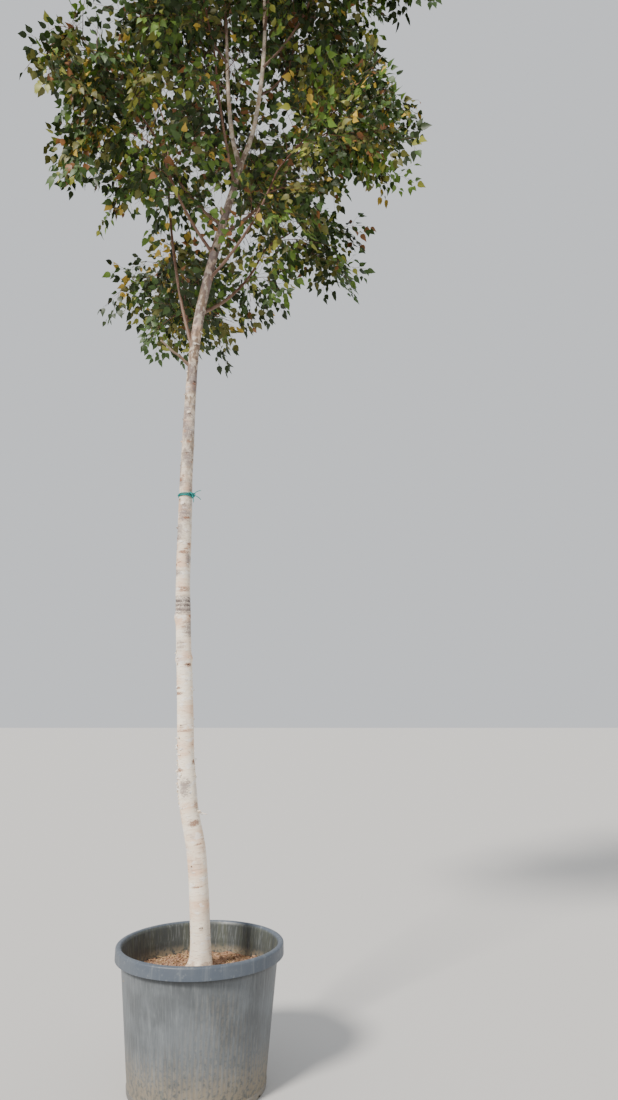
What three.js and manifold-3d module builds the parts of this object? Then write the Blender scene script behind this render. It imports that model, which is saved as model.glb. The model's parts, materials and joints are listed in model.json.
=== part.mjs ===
// A young birch in its nursery pot: pot, soil, trunk, leaders, boughs, masses of foliage and a twine tie.
// Lengths are in millimetres, angles in degrees, +Z is up. The origin is the centre of the pot's flat
// underside. Azimuth 0 is +X, the right of the tree as it is first seen, and 90 is +Y, its far side.
import * as THREE from "three";
import { mergeVertices } from "three/addons/utils/BufferGeometryUtils.js";
import Module from "manifold-3d";

const wasm = await Module();
wasm.setup();

// Clear space between two pieces that touch
const gap = 0.3;

const pot = {
  height: 500,
  footRadius: 258,
  shoulderRadius: 300,
  rimRadius: 320,
  rimDepth: 46,
  wall: 5,
  floor: 8,
  lipRound: 5,
  facets: 36,
};

const soil = {
  topAtTrunk: 405,
  topAtWall: 386,
  flatRadius: 95,
};

// The trunk leans left above the foot, kinks at knee height, and swings right to its fork.
const trunk = {
  stations: [
    { height: soil.topAtTrunk + gap, lean: 0, back: 0, diameter: 80 },
    { height: 480, lean: 0, back: 0, diameter: 79 },
    { height: 800, lean: -24, back: 4, diameter: 76 },
    { height: 1040, lean: -68, back: 10, diameter: 72 },
    { height: 1420, lean: -92, back: 16, diameter: 65 },
    { height: 2000, lean: -117, back: 18, diameter: 60 },
    { height: 2880, lean: -102, back: 6, diameter: 47 },
    { height: 3340, lean: -38, back: -4, diameter: 43 },
    { height: 3894, lean: 94, back: 0, diameter: 29 },
  ],
  flare: 14,
  flareHeight: 26,
  rootLobes: 5,
  lobeDepth: 0.16,
  sides: 14,
  rings: 23,
  ringCrowding: 1.4,
};

// The two leaders carry on from the fork.
const leaders = [
  {
    name: "leader_right",
    stations: [
      { height: 4122, lean: 158, back: 0 },
      { height: 4552, lean: 199, back: -8 },
      { height: 5100, lean: 186, back: -4 },
      { height: 5560, lean: 158, back: 14 },
      { height: 5880, lean: 150, back: 20 },
    ],
    diameter: 22,
    tipDiameter: 11,
    mass: { side: 330, height: 420, ahead: 0, above: 330 },
  },
  {
    name: "leader_left",
    stations: [
      { height: 4068, lean: 50, back: 8 },
      { height: 4334, lean: 24, back: 18 },
      { height: 4700, lean: 6, back: 22 },
      { height: 5120, lean: -34, back: 14 },
    ],
    diameter: 22,
    tipDiameter: 12,
    mass: { side: 330, height: 380, ahead: -60, above: 260 },
  },
];

// Each bough leaves its parent limb at a height, rises at an angle and lifts further along its length.
// Its mass of foliage has a centre ahead of the bough's tip and above it.
const boughs = [
  { name: "bough_left_low", parent: "trunk", height: 2925, azimuth: 150, rise: 74, lift: 12,
    length: 1170, diameter: 16, mass: { side: 420, height: 420, ahead: 300, above: 370 } },
  { name: "bough_left_mid", parent: "trunk", height: 3425, azimuth: 214, rise: 46, lift: 22,
    length: 500, diameter: 15, mass: { side: 430, height: 420, ahead: 310, above: 60 } },
  { name: "bough_left_high", parent: "trunk", height: 3575, azimuth: 170, rise: 44, lift: 20,
    length: 480, diameter: 14, mass: { side: 430, height: 420, ahead: 350, above: 10 } },
  { name: "bough_back_low", parent: "trunk", height: 2960, azimuth: 108, rise: 42, lift: 20,
    length: 600, diameter: 17, mass: { side: 460, height: 440, ahead: 320, above: 110 } },
  { name: "bough_right_back", parent: "trunk", height: 3130, azimuth: 48, rise: 40, lift: 22,
    length: 620, diameter: 17, mass: { side: 460, height: 440, ahead: 330, above: 140 } },
  { name: "bough_right_front", parent: "trunk", height: 3290, azimuth: 340, rise: 44, lift: 20,
    length: 560, diameter: 15, mass: { side: 440, height: 430, ahead: 320, above: 80 } },
  { name: "bough_right_high", parent: "trunk", height: 3520, azimuth: 14, rise: 42, lift: 22,
    length: 560, diameter: 15, mass: { side: 440, height: 430, ahead: 310, above: 120 } },
  { name: "bough_back_high", parent: "trunk", height: 3690, azimuth: 88, rise: 46, lift: 22,
    length: 540, diameter: 14, mass: { side: 440, height: 430, ahead: 310, above: 140 } },
  { name: "bough_front_high", parent: "trunk", height: 3790, azimuth: 252, rise: 52, lift: 20,
    length: 520, diameter: 14, mass: { side: 430, height: 420, ahead: 300, above: 130 } },
  { name: "bough_upper_back", parent: "leader_right", height: 4280, azimuth: 52, rise: 48, lift: 22,
    length: 480, diameter: 13, mass: { side: 430, height: 430, ahead: 270, above: 130 } },
  { name: "bough_upper_right", parent: "leader_right", height: 4430, azimuth: 350, rise: 46, lift: 22,
    length: 460, diameter: 12, mass: { side: 420, height: 430, ahead: 260, above: 120 } },
  { name: "bough_upper_left", parent: "leader_left", height: 4330, azimuth: 136, rise: 50, lift: 22,
    length: 460, diameter: 12, mass: { side: 430, height: 430, ahead: 260, above: 150 } },
  { name: "bough_upper_front", parent: "leader_left", height: 4480, azimuth: 204, rise: 50, lift: 22,
    length: 440, diameter: 12, mass: { side: 420, height: 420, ahead: 250, above: 120 } },
  { name: "bough_high_front", parent: "leader_right", height: 4640, azimuth: 284, rise: 48, lift: 22,
    length: 420, diameter: 12, mass: { side: 410, height: 420, ahead: 240, above: 120 } },
];

// Near the top three masses spring straight from the right leader.
const topMasses = [
  { name: "foliage_top_back", parent: "leader_right", height: 5040, azimuth: 84, rise: 42,
    mass: { side: 400, height: 400, ahead: 330, above: 300 } },
  { name: "foliage_top_right", parent: "leader_right", height: 5240, azimuth: 344, rise: 42,
    mass: { side: 390, height: 400, ahead: 310, above: 300 } },
  { name: "foliage_top_front", parent: "leader_right", height: 5440, azimuth: 226, rise: 42,
    mass: { side: 380, height: 390, ahead: 280, above: 300 } },
];

// A short dead snag on the left of the trunk
const snag = { name: "dead_snag", height: 2872, azimuth: 196, rise: 38, length: 185, diameter: 13 };

const boughShape = { sides: 6, rings: 4, steps: 4, tipDiameter: 9, snagTipDiameter: 7 };
const leaderShape = { sides: 7, rings: 9 };

// The growing rule: a stem runs on from the limb, twigs part from it by the golden angle and hang a little
// more at each step, and leaves stand along every twig. Each leaf stands for a spray of real ones.
const goldenAngle = 137.5;
const stemRule = { share: 1.75, steps: 6, droop: 0.1, wander: 0.22, diameter: 11, tipDiameter: 7 };
const twigRule = {
  perStep: 1,
  share: 1,
  shortening: 0.35,
  spread: 64,
  steps: 3,
  droop: 0.3,
  wander: 0.3,
  diameter: 9,
  tipDiameter: 6,
};
const leafRule = {
  perStep: 2,
  length: 200,
  width: 135,
  smallest: 0.78,
  keel: 5,
  widest: 0.36,
  sunk: 1.2,
  forward: 0.5,
  hang: 0.5,
  roll: 24,
  level: 0.15,
};
const clearOfNeighbour = 5;
const clearOfLimb = 7;

const tie = {
  height: 2281,
  twine: 6,
  bandHeight: 16,
  knot: 11,
  knotAzimuth: 330,
  endLength: 40,
  endDrops: [20, 62],
  facets: 14,
};

const materials = {
  pot: new THREE.MeshStandardMaterial({ color: 0x4c5157, roughness: 0.62, metalness: 0 }),
  soil: new THREE.MeshStandardMaterial({ color: 0x7a5a45, roughness: 0.95, metalness: 0 }),
  bark: new THREE.MeshStandardMaterial({ color: 0xe3d6c6, roughness: 0.75, metalness: 0 }),
  youngBark: new THREE.MeshStandardMaterial({ color: 0x7a5848, roughness: 0.7, metalness: 0 }),
  leaf: new THREE.MeshStandardMaterial({ color: 0x4d6327, roughness: 0.55, metalness: 0 }),
  twine: new THREE.MeshStandardMaterial({ color: 0x1f8f80, roughness: 0.7, metalness: 0 }),
};

const radians = THREE.MathUtils.degToRad;
const mix = THREE.MathUtils.lerp;
const up = new THREE.Vector3(0, 0, 1);
const tree = new THREE.Group();

function addPiece(name, geometry, material) {
  const mesh = new THREE.Mesh(geometry, material);
  mesh.name = name;
  tree.add(mesh);
}

function toSolid(geometry) {
  const bare = geometry.clone();
  bare.deleteAttribute("normal");
  bare.deleteAttribute("uv");
  const merged = mergeVertices(bare, 1e-3);
  const mesh = new wasm.Mesh({
    numProp: 3,
    vertProperties: new Float32Array(merged.attributes.position.array),
    triVerts: new Uint32Array(merged.index.array),
  });
  return new wasm.Manifold(mesh);
}

function toGeometry(solid) {
  const mesh = solid.getMesh();
  const geometry = new THREE.BufferGeometry();
  geometry.setAttribute("position", new THREE.BufferAttribute(mesh.vertProperties, 3));
  geometry.setIndex(new THREE.BufferAttribute(mesh.triVerts, 1));
  return geometry;
}

// A cut can leave a scrap inside the parent limb, so only the largest body is kept.
function largestBody(solid) {
  const bodies = solid.decompose();
  return bodies.reduce((best, body) => (body.volume() > best.volume() ? body : best));
}

// Numbers from 0 to 1 that come out the same on every run
function seeded(seed) {
  let state = (seed * 2654435) % 4294967296;
  return () => {
    state = (state * 1664525 + 1013904223) % 4294967296;
    return state / 4294967296;
  };
}

function directionAt(azimuth, rise) {
  const flat = Math.cos(radians(rise));
  return new THREE.Vector3(
    flat * Math.cos(radians(azimuth)),
    flat * Math.sin(radians(azimuth)),
    Math.sin(radians(rise)),
  );
}

function curveThrough(points) {
  return new THREE.CatmullRomCurve3(points, false, "catmullrom", 0.5);
}

function stationPoint(station) {
  return new THREE.Vector3(station.lean, station.back, station.height);
}

// Curves rise all the way, so the share of a curve at a height is found by halving.
function shareAtHeight(curve, height) {
  let low = 0;
  let high = 1;
  for (let i = 0; i < 40; i += 1) {
    const middle = (low + high) / 2;
    if (curve.getPointAt(middle).z < height) low = middle;
    else high = middle;
  }
  return (low + high) / 2;
}

// Reads a list of values, one for each share in a list, with straight runs between them.
function valueAt(share, shares, values) {
  const passed = shares.filter((place) => place <= share).length;
  const next = Math.min(Math.max(passed, 1), shares.length - 1);
  const part = (share - shares[next - 1]) / (shares[next] - shares[next - 1]);
  return mix(values[next - 1], values[next], part);
}

// A closed cylinder bent along a curve. radiusAt takes the share of the length and the angle round it.
function bentCylinder(curve, radiusAt, sides, rings, crowding = 1) {
  const geometry = new THREE.CylinderGeometry(1, 1, 1, sides, rings);
  const frames = curve.computeFrenetFrames(rings);
  const position = geometry.attributes.position;
  for (let i = 0; i < position.count; i += 1) {
    const ring = Math.round((position.getY(i) + 0.5) * rings);
    const share = (ring / rings) ** crowding;
    const angle = Math.atan2(position.getX(i), position.getZ(i));
    const radius = Math.hypot(position.getX(i), position.getZ(i)) * radiusAt(share, angle);
    const point = curve
      .getPointAt(share)
      .addScaledVector(frames.binormals[ring], radius * Math.sin(angle))
      .addScaledVector(frames.normals[ring], radius * Math.cos(angle));
    position.setXYZ(i, point.x, point.y, point.z);
  }
  return geometry;
}

// Every limb keeps its curve and radius, so that boughs, twigs and leaves can be set against it.
const limbs = new Map();

function addLimb(name, curve, radiusAt, solidWith) {
  limbs.set(name, { curve, radiusAt, solidWith });
}

function limbProbes(limb, count) {
  return Array.from({ length: count + 1 }, (_, i) => {
    const share = i / count;
    return { point: limb.curve.getPointAt(share), radius: limb.radiusAt(share, 0) };
  });
}

function makePot() {
  const rimFoot = pot.height - pot.rimDepth;
  const bandInner = pot.rimRadius - pot.wall;
  const innerTop = pot.shoulderRadius - pot.wall;
  const innerFoot = pot.footRadius - pot.wall;
  const profile = new THREE.Path();
  profile.moveTo(0, 0);
  profile.lineTo(pot.footRadius - pot.lipRound, 0);
  profile.lineTo(pot.footRadius, pot.lipRound);
  profile.lineTo(pot.shoulderRadius, pot.height - 2.4 * pot.wall);
  profile.lineTo(bandInner, pot.height - 2.4 * pot.wall);
  profile.lineTo(bandInner, rimFoot);
  profile.lineTo(pot.rimRadius, rimFoot);
  profile.lineTo(pot.rimRadius, pot.height - pot.lipRound);
  profile.lineTo(pot.rimRadius - pot.lipRound, pot.height);
  profile.lineTo(innerTop + pot.lipRound, pot.height);
  profile.lineTo(innerTop, pot.height - pot.lipRound);
  profile.lineTo(innerFoot, pot.floor);
  profile.lineTo(0, pot.floor);
  addPiece("pot", latheUpright(profile.getPoints(1)), materials.pot);
}

function latheUpright(points) {
  return new THREE.LatheGeometry(points, pot.facets).rotateX(Math.PI / 2);
}

function makeSoil() {
  const innerRadius = (height) => {
    const share = (height - pot.floor) / (pot.height - pot.lipRound - pot.floor);
    return mix(pot.footRadius, pot.shoulderRadius, share) - pot.wall - 2 * gap;
  };
  const bottom = pot.floor + gap;
  const middle = (soil.topAtTrunk + soil.topAtWall) / 2;
  const profile = [
    new THREE.Vector2(0, bottom),
    new THREE.Vector2(innerRadius(bottom), bottom),
    new THREE.Vector2(innerRadius(soil.topAtWall), soil.topAtWall),
    new THREE.Vector2(mix(soil.flatRadius, innerRadius(middle), 0.5), middle),
    new THREE.Vector2(soil.flatRadius, soil.topAtTrunk),
    new THREE.Vector2(0, soil.topAtTrunk),
  ];
  addPiece("soil", latheUpright(profile), materials.soil);
}

function makeTrunk() {
  const curve = curveThrough(trunk.stations.map(stationPoint));
  const length = curve.getLength();
  const shares = trunk.stations.map((station) => shareAtHeight(curve, station.height));
  const diameters = trunk.stations.map((station) => station.diameter);
  const radiusAt = (share, angle) => {
    const flare = Math.exp((-share * length) / trunk.flareHeight);
    const lobes = 1 + trunk.lobeDepth * flare * Math.cos(trunk.rootLobes * angle);
    return (valueAt(share, shares, diameters) / 2 + trunk.flare * flare) * lobes;
  };
  const solidWith = (extra) => {
    const radius = (share, angle) => radiusAt(share, angle) + extra;
    return toSolid(bentCylinder(curve, radius, trunk.sides, trunk.rings, trunk.ringCrowding));
  };
  addLimb("trunk", curve, radiusAt, solidWith);
  addPiece("trunk", toGeometry(solidWith(0)), materials.bark);
}

function taperedLimb(name, curve, diameter, tipDiameter, sides, rings) {
  const radiusAt = (share) => mix(diameter, tipDiameter, share) / 2;
  const solidWith = (extra) => {
    return toSolid(bentCylinder(curve, (share) => radiusAt(share) + extra, sides, rings));
  };
  addLimb(name, curve, radiusAt, solidWith);
  return solidWith(0);
}

function cutClearOf(solid, names) {
  return names.reduce((left, name) => left.subtract(limbs.get(name).solidWith(gap)), solid);
}

function makeLeaders() {
  const { curve: trunkCurve, radiusAt } = limbs.get("trunk");
  const top = trunkCurve.getPointAt(1);
  const heading = trunkCurve.getTangentAt(1);
  leaders.forEach((leader, index) => {
    const offset = index === 0 ? gap : -radiusAt(1, 0);
    const start = top.clone().addScaledVector(heading, offset);
    const curve = curveThrough([start, ...leader.stations.map(stationPoint)]);
    const { name, diameter, tipDiameter } = leader;
    const whole = taperedLimb(name, curve, diameter, tipDiameter, leaderShape.sides, leaderShape.rings);
    const others = ["trunk", leaders[0].name].slice(0, index + 1);
    addPiece(name, toGeometry(largestBody(cutClearOf(whole, others))), materials.bark);
  });
}

// A bough starts on its parent's centreline and is cut back to the parent's surface.
function boughCurve(parent, height, azimuth, rise, lift, length) {
  const { curve } = limbs.get(parent);
  const points = [curve.getPointAt(shareAtHeight(curve, height))];
  for (let i = 0; i < boughShape.steps; i += 1) {
    const angle = rise + (lift * i) / (boughShape.steps - 1);
    const step = directionAt(azimuth, angle).multiplyScalar(length / boughShape.steps);
    points.push(points[i].clone().add(step));
  }
  return curveThrough(points);
}

function makeBough(bough, tipDiameter) {
  const { name, parent, height, azimuth, rise, lift, length, diameter } = bough;
  const curve = boughCurve(parent, height, azimuth, rise, lift, length);
  const whole = taperedLimb(name, curve, diameter, tipDiameter, boughShape.sides, boughShape.rings);
  const cut = largestBody(cutClearOf(whole, [parent]));
  addPiece(name, toGeometry(cut), materials.youngBark);
}

function massCentre(start, azimuth, mass) {
  const ahead = directionAt(azimuth, 0).multiplyScalar(mass.ahead);
  return start.clone().add(ahead).addScaledVector(up, mass.above);
}

// One entry for each mass: where its stem starts, which way it sets off, and the space that it keeps to.
function listMasses() {
  const atTip = (limb, name, azimuth, mass) => {
    const { curve } = limbs.get(limb);
    const heading = curve.getTangentAt(1);
    const start = curve.getPointAt(1).addScaledVector(heading, gap);
    return { name, start, heading, mass, centre: massCentre(start, azimuth, mass), parent: null };
  };
  const onSide = ({ name, parent, height, azimuth, rise, mass }) => {
    const { curve } = limbs.get(parent);
    const start = curve.getPointAt(shareAtHeight(curve, height));
    const heading = directionAt(azimuth, rise);
    return { name, start, heading, mass, centre: massCentre(start, azimuth, mass), parent };
  };
  return [
    ...boughs.map((b) => atTip(b.name, b.name.replace("bough", "foliage"), b.azimuth, b.mass)),
    ...leaders.map((l) => atTip(l.name, l.name.replace("leader", "foliage_tip"), 0, l.mass)),
    ...topMasses.map(onSide),
  ];
}

// A point is in a mass's space if it is inside the mass's ellipsoid and nearer its centre than any other.
function insideSpace(point, own, masses) {
  const offset = point.clone().sub(own.centre);
  const flat = Math.hypot(offset.x, offset.y) / own.mass.side;
  if (Math.hypot(flat, offset.z / own.mass.height) > 1) return false;
  return masses.every((other) => {
    if (other === own) return true;
    const across = other.centre.clone().sub(own.centre);
    const middle = own.centre.clone().add(other.centre).multiplyScalar(0.5);
    return point.clone().sub(middle).dot(across.normalize()) < -clearOfNeighbour;
  });
}

function clearOfLimbs(point, probes, margin) {
  return probes.every((probe) => point.distanceTo(probe.point) > probe.radius + margin);
}

function turned(direction, spread, turn) {
  const reference = Math.abs(direction.z) > 0.9 ? new THREE.Vector3(1, 0, 0) : up;
  const across = new THREE.Vector3().crossVectors(direction, reference).normalize();
  across.applyAxisAngle(direction, radians(turn));
  return direction.clone().applyAxisAngle(across, radians(spread));
}

// Walks a stem or twig in equal steps, and stops where it would leave the mass's space or touch a limb.
function walk(start, heading, length, rule, random, allowed) {
  const points = [start.clone()];
  const way = heading.clone();
  for (let i = 0; i < rule.steps; i += 1) {
    const stray = new THREE.Vector3(random() - 0.5, random() - 0.5, random() - 0.5);
    way.addScaledVector(stray, i ? rule.wander : 0);
    way.addScaledVector(up, i ? -rule.droop : 0).normalize();
    const next = points[i].clone().addScaledVector(way, length / rule.steps);
    if (i > 0 && !allowed(next)) break;
    points.push(next);
  }
  return points;
}

// A three-sided stem or twig
function makeStem(points, diameter, tipDiameter) {
  const curve = curveThrough(points);
  const steps = points.length - 1;
  const radiusAt = (share) => mix(diameter, tipDiameter, share) / 2;
  return { curve, steps, solid: toSolid(bentCylinder(curve, radiusAt, 3, steps)) };
}

// Leaves and twigs stand between a stem's rings, and a leaf faces out of one of its flat sides.
function placesAlong(stem, perStep) {
  const { curve, steps } = stem;
  const { normals, binormals } = curve.computeFrenetFrames(steps);
  return Array.from({ length: steps * perStep }, (_, index) => {
    const ring = Math.floor(index / perStep);
    const low = curve.getPointAt(ring / steps);
    const high = curve.getPointAt((ring + 1) / steps);
    const sides = [60, 180, 300].map((angle) => {
      const side = normals[ring].clone().multiplyScalar(Math.cos(radians(angle)));
      return side.addScaledVector(binormals[ring], Math.sin(radians(angle)));
    });
    const point = low.clone().lerp(high, ((index % perStep) + 0.5) / perStep);
    return { point, along: high.sub(low).normalize(), sides };
  });
}

// A leaf has a flat face and a keel: its corners are root, tip, two sides and the underside of its midrib.
const leafCorners = [[0, -1, 0], [0, 1, 0], [-1, 0, 0], [1, 0, 0], [0, 0, -1]];
const leafFaces = [[0, 2, 4], [0, 4, 3], [0, 3, 2], [1, 4, 2], [1, 3, 4], [1, 2, 3]];

function leafGeometry(root, direction, face, size) {
  const side = new THREE.Vector3().crossVectors(direction, face).normalize();
  const normal = new THREE.Vector3().crossVectors(side, direction);
  const geometry = new THREE.PolyhedronGeometry(leafCorners.flat(), leafFaces.flat(), 1);
  const position = geometry.attributes.position;
  for (let i = 0; i < position.count; i += 1) {
    const along = position.getY(i);
    const reach = Math.abs(along) < 0.5 ? leafRule.widest : (along + 1) / 2;
    const point = root
      .clone()
      .addScaledVector(direction, reach * leafRule.length * size - leafRule.sunk)
      .addScaledVector(side, (position.getX(i) * leafRule.width * size) / 2)
      .addScaledVector(normal, position.getZ(i) * leafRule.keel);
    position.setXYZ(i, point.x, point.y, point.z);
  }
  return geometry;
}

function leafAllowed(geometry, space, probes) {
  const position = geometry.attributes.position;
  const corner = new THREE.Vector3();
  const middle = new THREE.Vector3();
  for (let i = 0; i < position.count; i += 1) {
    corner.fromBufferAttribute(position, i);
    middle.addScaledVector(corner, 1 / position.count);
    if (!insideSpace(corner, space.own, space.masses)) return false;
  }
  for (let i = 0; i < position.count; i += 1) {
    corner.fromBufferAttribute(position, i);
    const halfway = corner.clone().lerp(middle, 0.5);
    if (!clearOfLimbs(corner, probes, clearOfLimb)) return false;
    if (!clearOfLimbs(halfway, probes, clearOfLimb)) return false;
  }
  return clearOfLimbs(middle, probes, clearOfLimb);
}

// At each place the leaf takes the first flat side where it keeps to the mass's space.
function leavesOn(stem, random, space, probes) {
  const found = [];
  placesAlong(stem, leafRule.perStep).forEach(({ point, along, sides }, index) => {
    const hang = leafRule.hang * random();
    const roll = mix(-leafRule.roll, leafRule.roll, random());
    const size = mix(leafRule.smallest, 1, random());
    const leaves = sides.map((_, turn) => {
      const direction = along
        .clone()
        .multiplyScalar(leafRule.forward)
        .add(sides[(index + turn) % 3])
        .addScaledVector(up, -hang)
        .normalize();
      const face = new THREE.Vector3().crossVectors(along, direction);
      face.applyAxisAngle(direction, radians(roll)).addScaledVector(up, leafRule.level);
      return leafGeometry(point, direction, face, size);
    });
    const leaf = leaves.find((geometry) => leafAllowed(geometry, space, probes));
    if (leaf) found.push(toSolid(leaf));
  });
  return found;
}

function makeMass(own, index, masses, probes) {
  const random = seeded(index + 1);
  const space = { own, masses };
  const allowed = (point) => {
    return insideSpace(point, own, masses) && clearOfLimbs(point, probes, clearOfLimb);
  };
  const outward = own.centre.clone().sub(own.start);
  const stemLength = stemRule.share * outward.length();
  const heading = own.heading.clone().addScaledVector(outward.normalize(), own.parent ? 0 : 0.6);
  const first = own.start.clone().addScaledVector(own.heading, stemLength / stemRule.steps / 2);
  const stemPoints = walk(first, heading.normalize(), stemLength, stemRule, random, allowed);
  const stem = makeStem([own.start, ...stemPoints], stemRule.diameter, stemRule.tipDiameter);
  const pieces = [stem.solid];
  placesAlong(stem, twigRule.perStep).forEach(({ point, along }, place, all) => {
    const way = turned(along, twigRule.spread, place * goldenAngle);
    const length = twigRule.share * own.mass.side * (1 - (twigRule.shortening * place) / all.length);
    const points = walk(point, way, length, twigRule, random, allowed);
    if (place > 0 && points.length > 2) {
      const twig = makeStem(points, twigRule.diameter, twigRule.tipDiameter);
      pieces.push(twig.solid, ...leavesOn(twig, random, space, probes));
    }
  });
  let fused = wasm.Manifold.union(pieces);
  if (own.parent) fused = cutClearOf(fused, [own.parent]);
  addPiece(own.name, toGeometry(largestBody(fused)), materials.leaf);
}

function makeMasses() {
  const masses = listMasses();
  const probes = [...limbs.values()].flatMap((limb) => limbProbes(limb, 60));
  masses.forEach((own, index) => {
    const nearby = probes.filter((probe) => probe.point.distanceTo(own.start) > 0);
    makeMass(own, index, masses, nearby);
  });
}

function makeTie() {
  const { curve, radiusAt } = limbs.get("trunk");
  const share = shareAtHeight(curve, tie.height);
  const centre = curve.getPointAt(share);
  const facetDepth = Math.cos(Math.PI / tie.facets);
  const bark = radiusAt(share, 0) + 2 * gap;
  const ring = new THREE.TorusGeometry((bark + tie.twine / 2) / facetDepth, tie.twine / 2, 6, tie.facets);
  ring.scale(1, 1, tie.bandHeight / tie.twine);
  const upright = new THREE.Quaternion().setFromUnitVectors(up, curve.getTangentAt(share));
  ring.applyQuaternion(upright).translate(centre.x, centre.y, centre.z);
  const outward = directionAt(tie.knotAzimuth, 0);
  const knotCentre = centre.clone().addScaledVector(outward, bark + tie.knot);
  const knot = new THREE.IcosahedronGeometry(tie.knot, 0);
  knot.translate(knotCentre.x, knotCentre.y, knotCentre.z);
  const ends = tie.endDrops.map((drop) => {
    const tip = knotCentre.clone().addScaledVector(directionAt(tie.knotAzimuth, -drop), tie.endLength);
    return makeStem([knotCentre, tip], tie.twine, tie.twine * 0.8).solid;
  });
  const fused = wasm.Manifold.union([toSolid(ring), toSolid(knot), ...ends]);
  addPiece("twine_tie", toGeometry(fused), materials.twine);
}

makePot();
makeSoil();
makeTrunk();
makeLeaders();
boughs.forEach((bough) => makeBough(bough, boughShape.tipDiameter));
makeBough({ ...snag, parent: "trunk", lift: 0 }, boughShape.snagTipDiameter);
makeMasses();
makeTie();

export default tree;
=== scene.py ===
import json
import math

import bpy
import numpy as np
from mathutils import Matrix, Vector, noise

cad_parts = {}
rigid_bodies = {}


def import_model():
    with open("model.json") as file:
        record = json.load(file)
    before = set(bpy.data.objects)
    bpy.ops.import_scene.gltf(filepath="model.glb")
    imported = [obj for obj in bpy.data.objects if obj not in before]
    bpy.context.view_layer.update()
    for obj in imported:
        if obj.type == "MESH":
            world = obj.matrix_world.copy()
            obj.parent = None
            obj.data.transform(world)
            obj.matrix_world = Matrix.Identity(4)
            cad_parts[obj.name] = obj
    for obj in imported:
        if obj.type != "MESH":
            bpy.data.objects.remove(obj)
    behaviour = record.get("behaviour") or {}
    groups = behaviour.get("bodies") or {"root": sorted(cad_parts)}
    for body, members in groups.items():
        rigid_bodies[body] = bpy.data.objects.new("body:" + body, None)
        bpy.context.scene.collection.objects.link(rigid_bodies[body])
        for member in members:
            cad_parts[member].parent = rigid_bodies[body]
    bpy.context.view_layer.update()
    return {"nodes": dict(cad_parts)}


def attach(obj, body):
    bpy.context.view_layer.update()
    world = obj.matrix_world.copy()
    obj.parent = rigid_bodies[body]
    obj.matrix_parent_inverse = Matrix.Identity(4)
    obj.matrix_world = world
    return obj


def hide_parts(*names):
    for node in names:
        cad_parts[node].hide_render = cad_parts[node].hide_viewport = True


# A young birch in its nursery pot. Lengths are in metres, angles in degrees, and azimuth 0 is +X.
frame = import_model()
print("frame loaded:", len(frame["nodes"]), "nodes")

up = np.array((0.0, 0.0, 1.0))
gap = 0.0003  # between solids that meet

# the camera stands where the photo was taken from
photoView = {"right": 0.418, "away": 3.25, "eye": 1.372, "pitch": 11.6, "focalPixels": 780,
             "width": 618, "height": 1100}


def addObject(name, data):
    made = bpy.data.objects.new(name, data)
    bpy.context.scene.collection.objects.link(made)
    return made


def makeCamera():
    data = bpy.data.cameras.new("photo_camera")
    data.sensor_width = 36
    data.lens = data.sensor_width * photoView["focalPixels"] / photoView["height"]
    camera = addObject("photo_camera", data)
    camera.location = (photoView["right"], -photoView["away"], photoView["eye"])
    camera.rotation_euler = (math.radians(90 + photoView["pitch"]), 0, 0)
    bpy.context.scene.camera = camera


# small helpers for vectors and random draws

def unit(vector):
    return vector / np.linalg.norm(vector)


def mix(low, high, share):
    return low + (high - low) * share


def smooth(value, low, high):
    share = np.clip((value - low) / (high - low), 0, 1)
    return share * share * (3 - 2 * share)


def directionAt(azimuth, rise):
    turn, lift = math.radians(azimuth), math.radians(rise)
    return np.array((math.cos(lift) * math.cos(turn), math.cos(lift) * math.sin(turn), math.sin(lift)))


def spun(vector, axis, degrees):
    turn = math.radians(degrees)
    along = axis * np.dot(axis, vector)
    return along + (vector - along) * math.cos(turn) + np.cross(axis, vector) * math.sin(turn)


def turnsOf(sides):
    return np.arange(sides) * 2 * math.pi / sides


def seeded(seed):
    # the same draws as in the solids
    state = (seed * 2654435) % 4294967296

    def draw(low=0.0, high=1.0):
        nonlocal state
        state = (state * 1664525 + 1013904223) % 4294967296
        return low + (high - low) * state / 4294967296

    return draw


def scattered(draw, count, *ranges):
    return [[draw(*limits) for limits in ranges] for _ in range(count)]


def noiseAt(points, size, seed=0):
    shift = Vector((7.3 * seed, 3.1 * seed, 5.7 * seed))
    flat = (np.asarray(points).reshape(-1, 3) / size).tolist()
    return np.array([noise.noise(Vector(p) + shift) for p in flat]).reshape(np.shape(points)[:-1])


class Line:
    # a smooth line through points, read by the share of its length
    def __init__(self, points, fine=24):
        knots = np.array(points, float)
        ends = np.vstack((2 * knots[0] - knots[1], knots, 2 * knots[-1] - knots[-2]))
        t = np.linspace(0, 1, fine, endpoint=False)[:, None]
        spans = []
        for before, a, b, after in zip(ends, ends[1:], ends[2:], ends[3:]):
            leave, arrive = (b - before) / 2, (after - a) / 2
            bend = (3 * (b - a) - 2 * leave - arrive) * t**2
            spans.append(a + leave * t + bend + (2 * (a - b) + leave + arrive) * t**3)
        self.points = np.vstack((*spans, knots[-1:]))
        lengths = np.concatenate(([0], np.cumsum(np.linalg.norm(np.diff(self.points, axis=0), axis=1))))
        self.length = lengths[-1]
        self.shares = lengths / self.length

    def at(self, share):
        return np.stack([np.interp(share, self.shares, self.points[:, k]) for k in range(3)], -1)

    def heading(self, share, near=0.004):
        return unit(self.at(min(share + near, 1)) - self.at(max(share - near, 0)))

    def headings(self, shares):
        return np.array([self.heading(s) for s in shares])

    def shareAtHeight(self, height):
        return float(np.interp(height, self.points[:, 2], self.shares))


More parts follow.
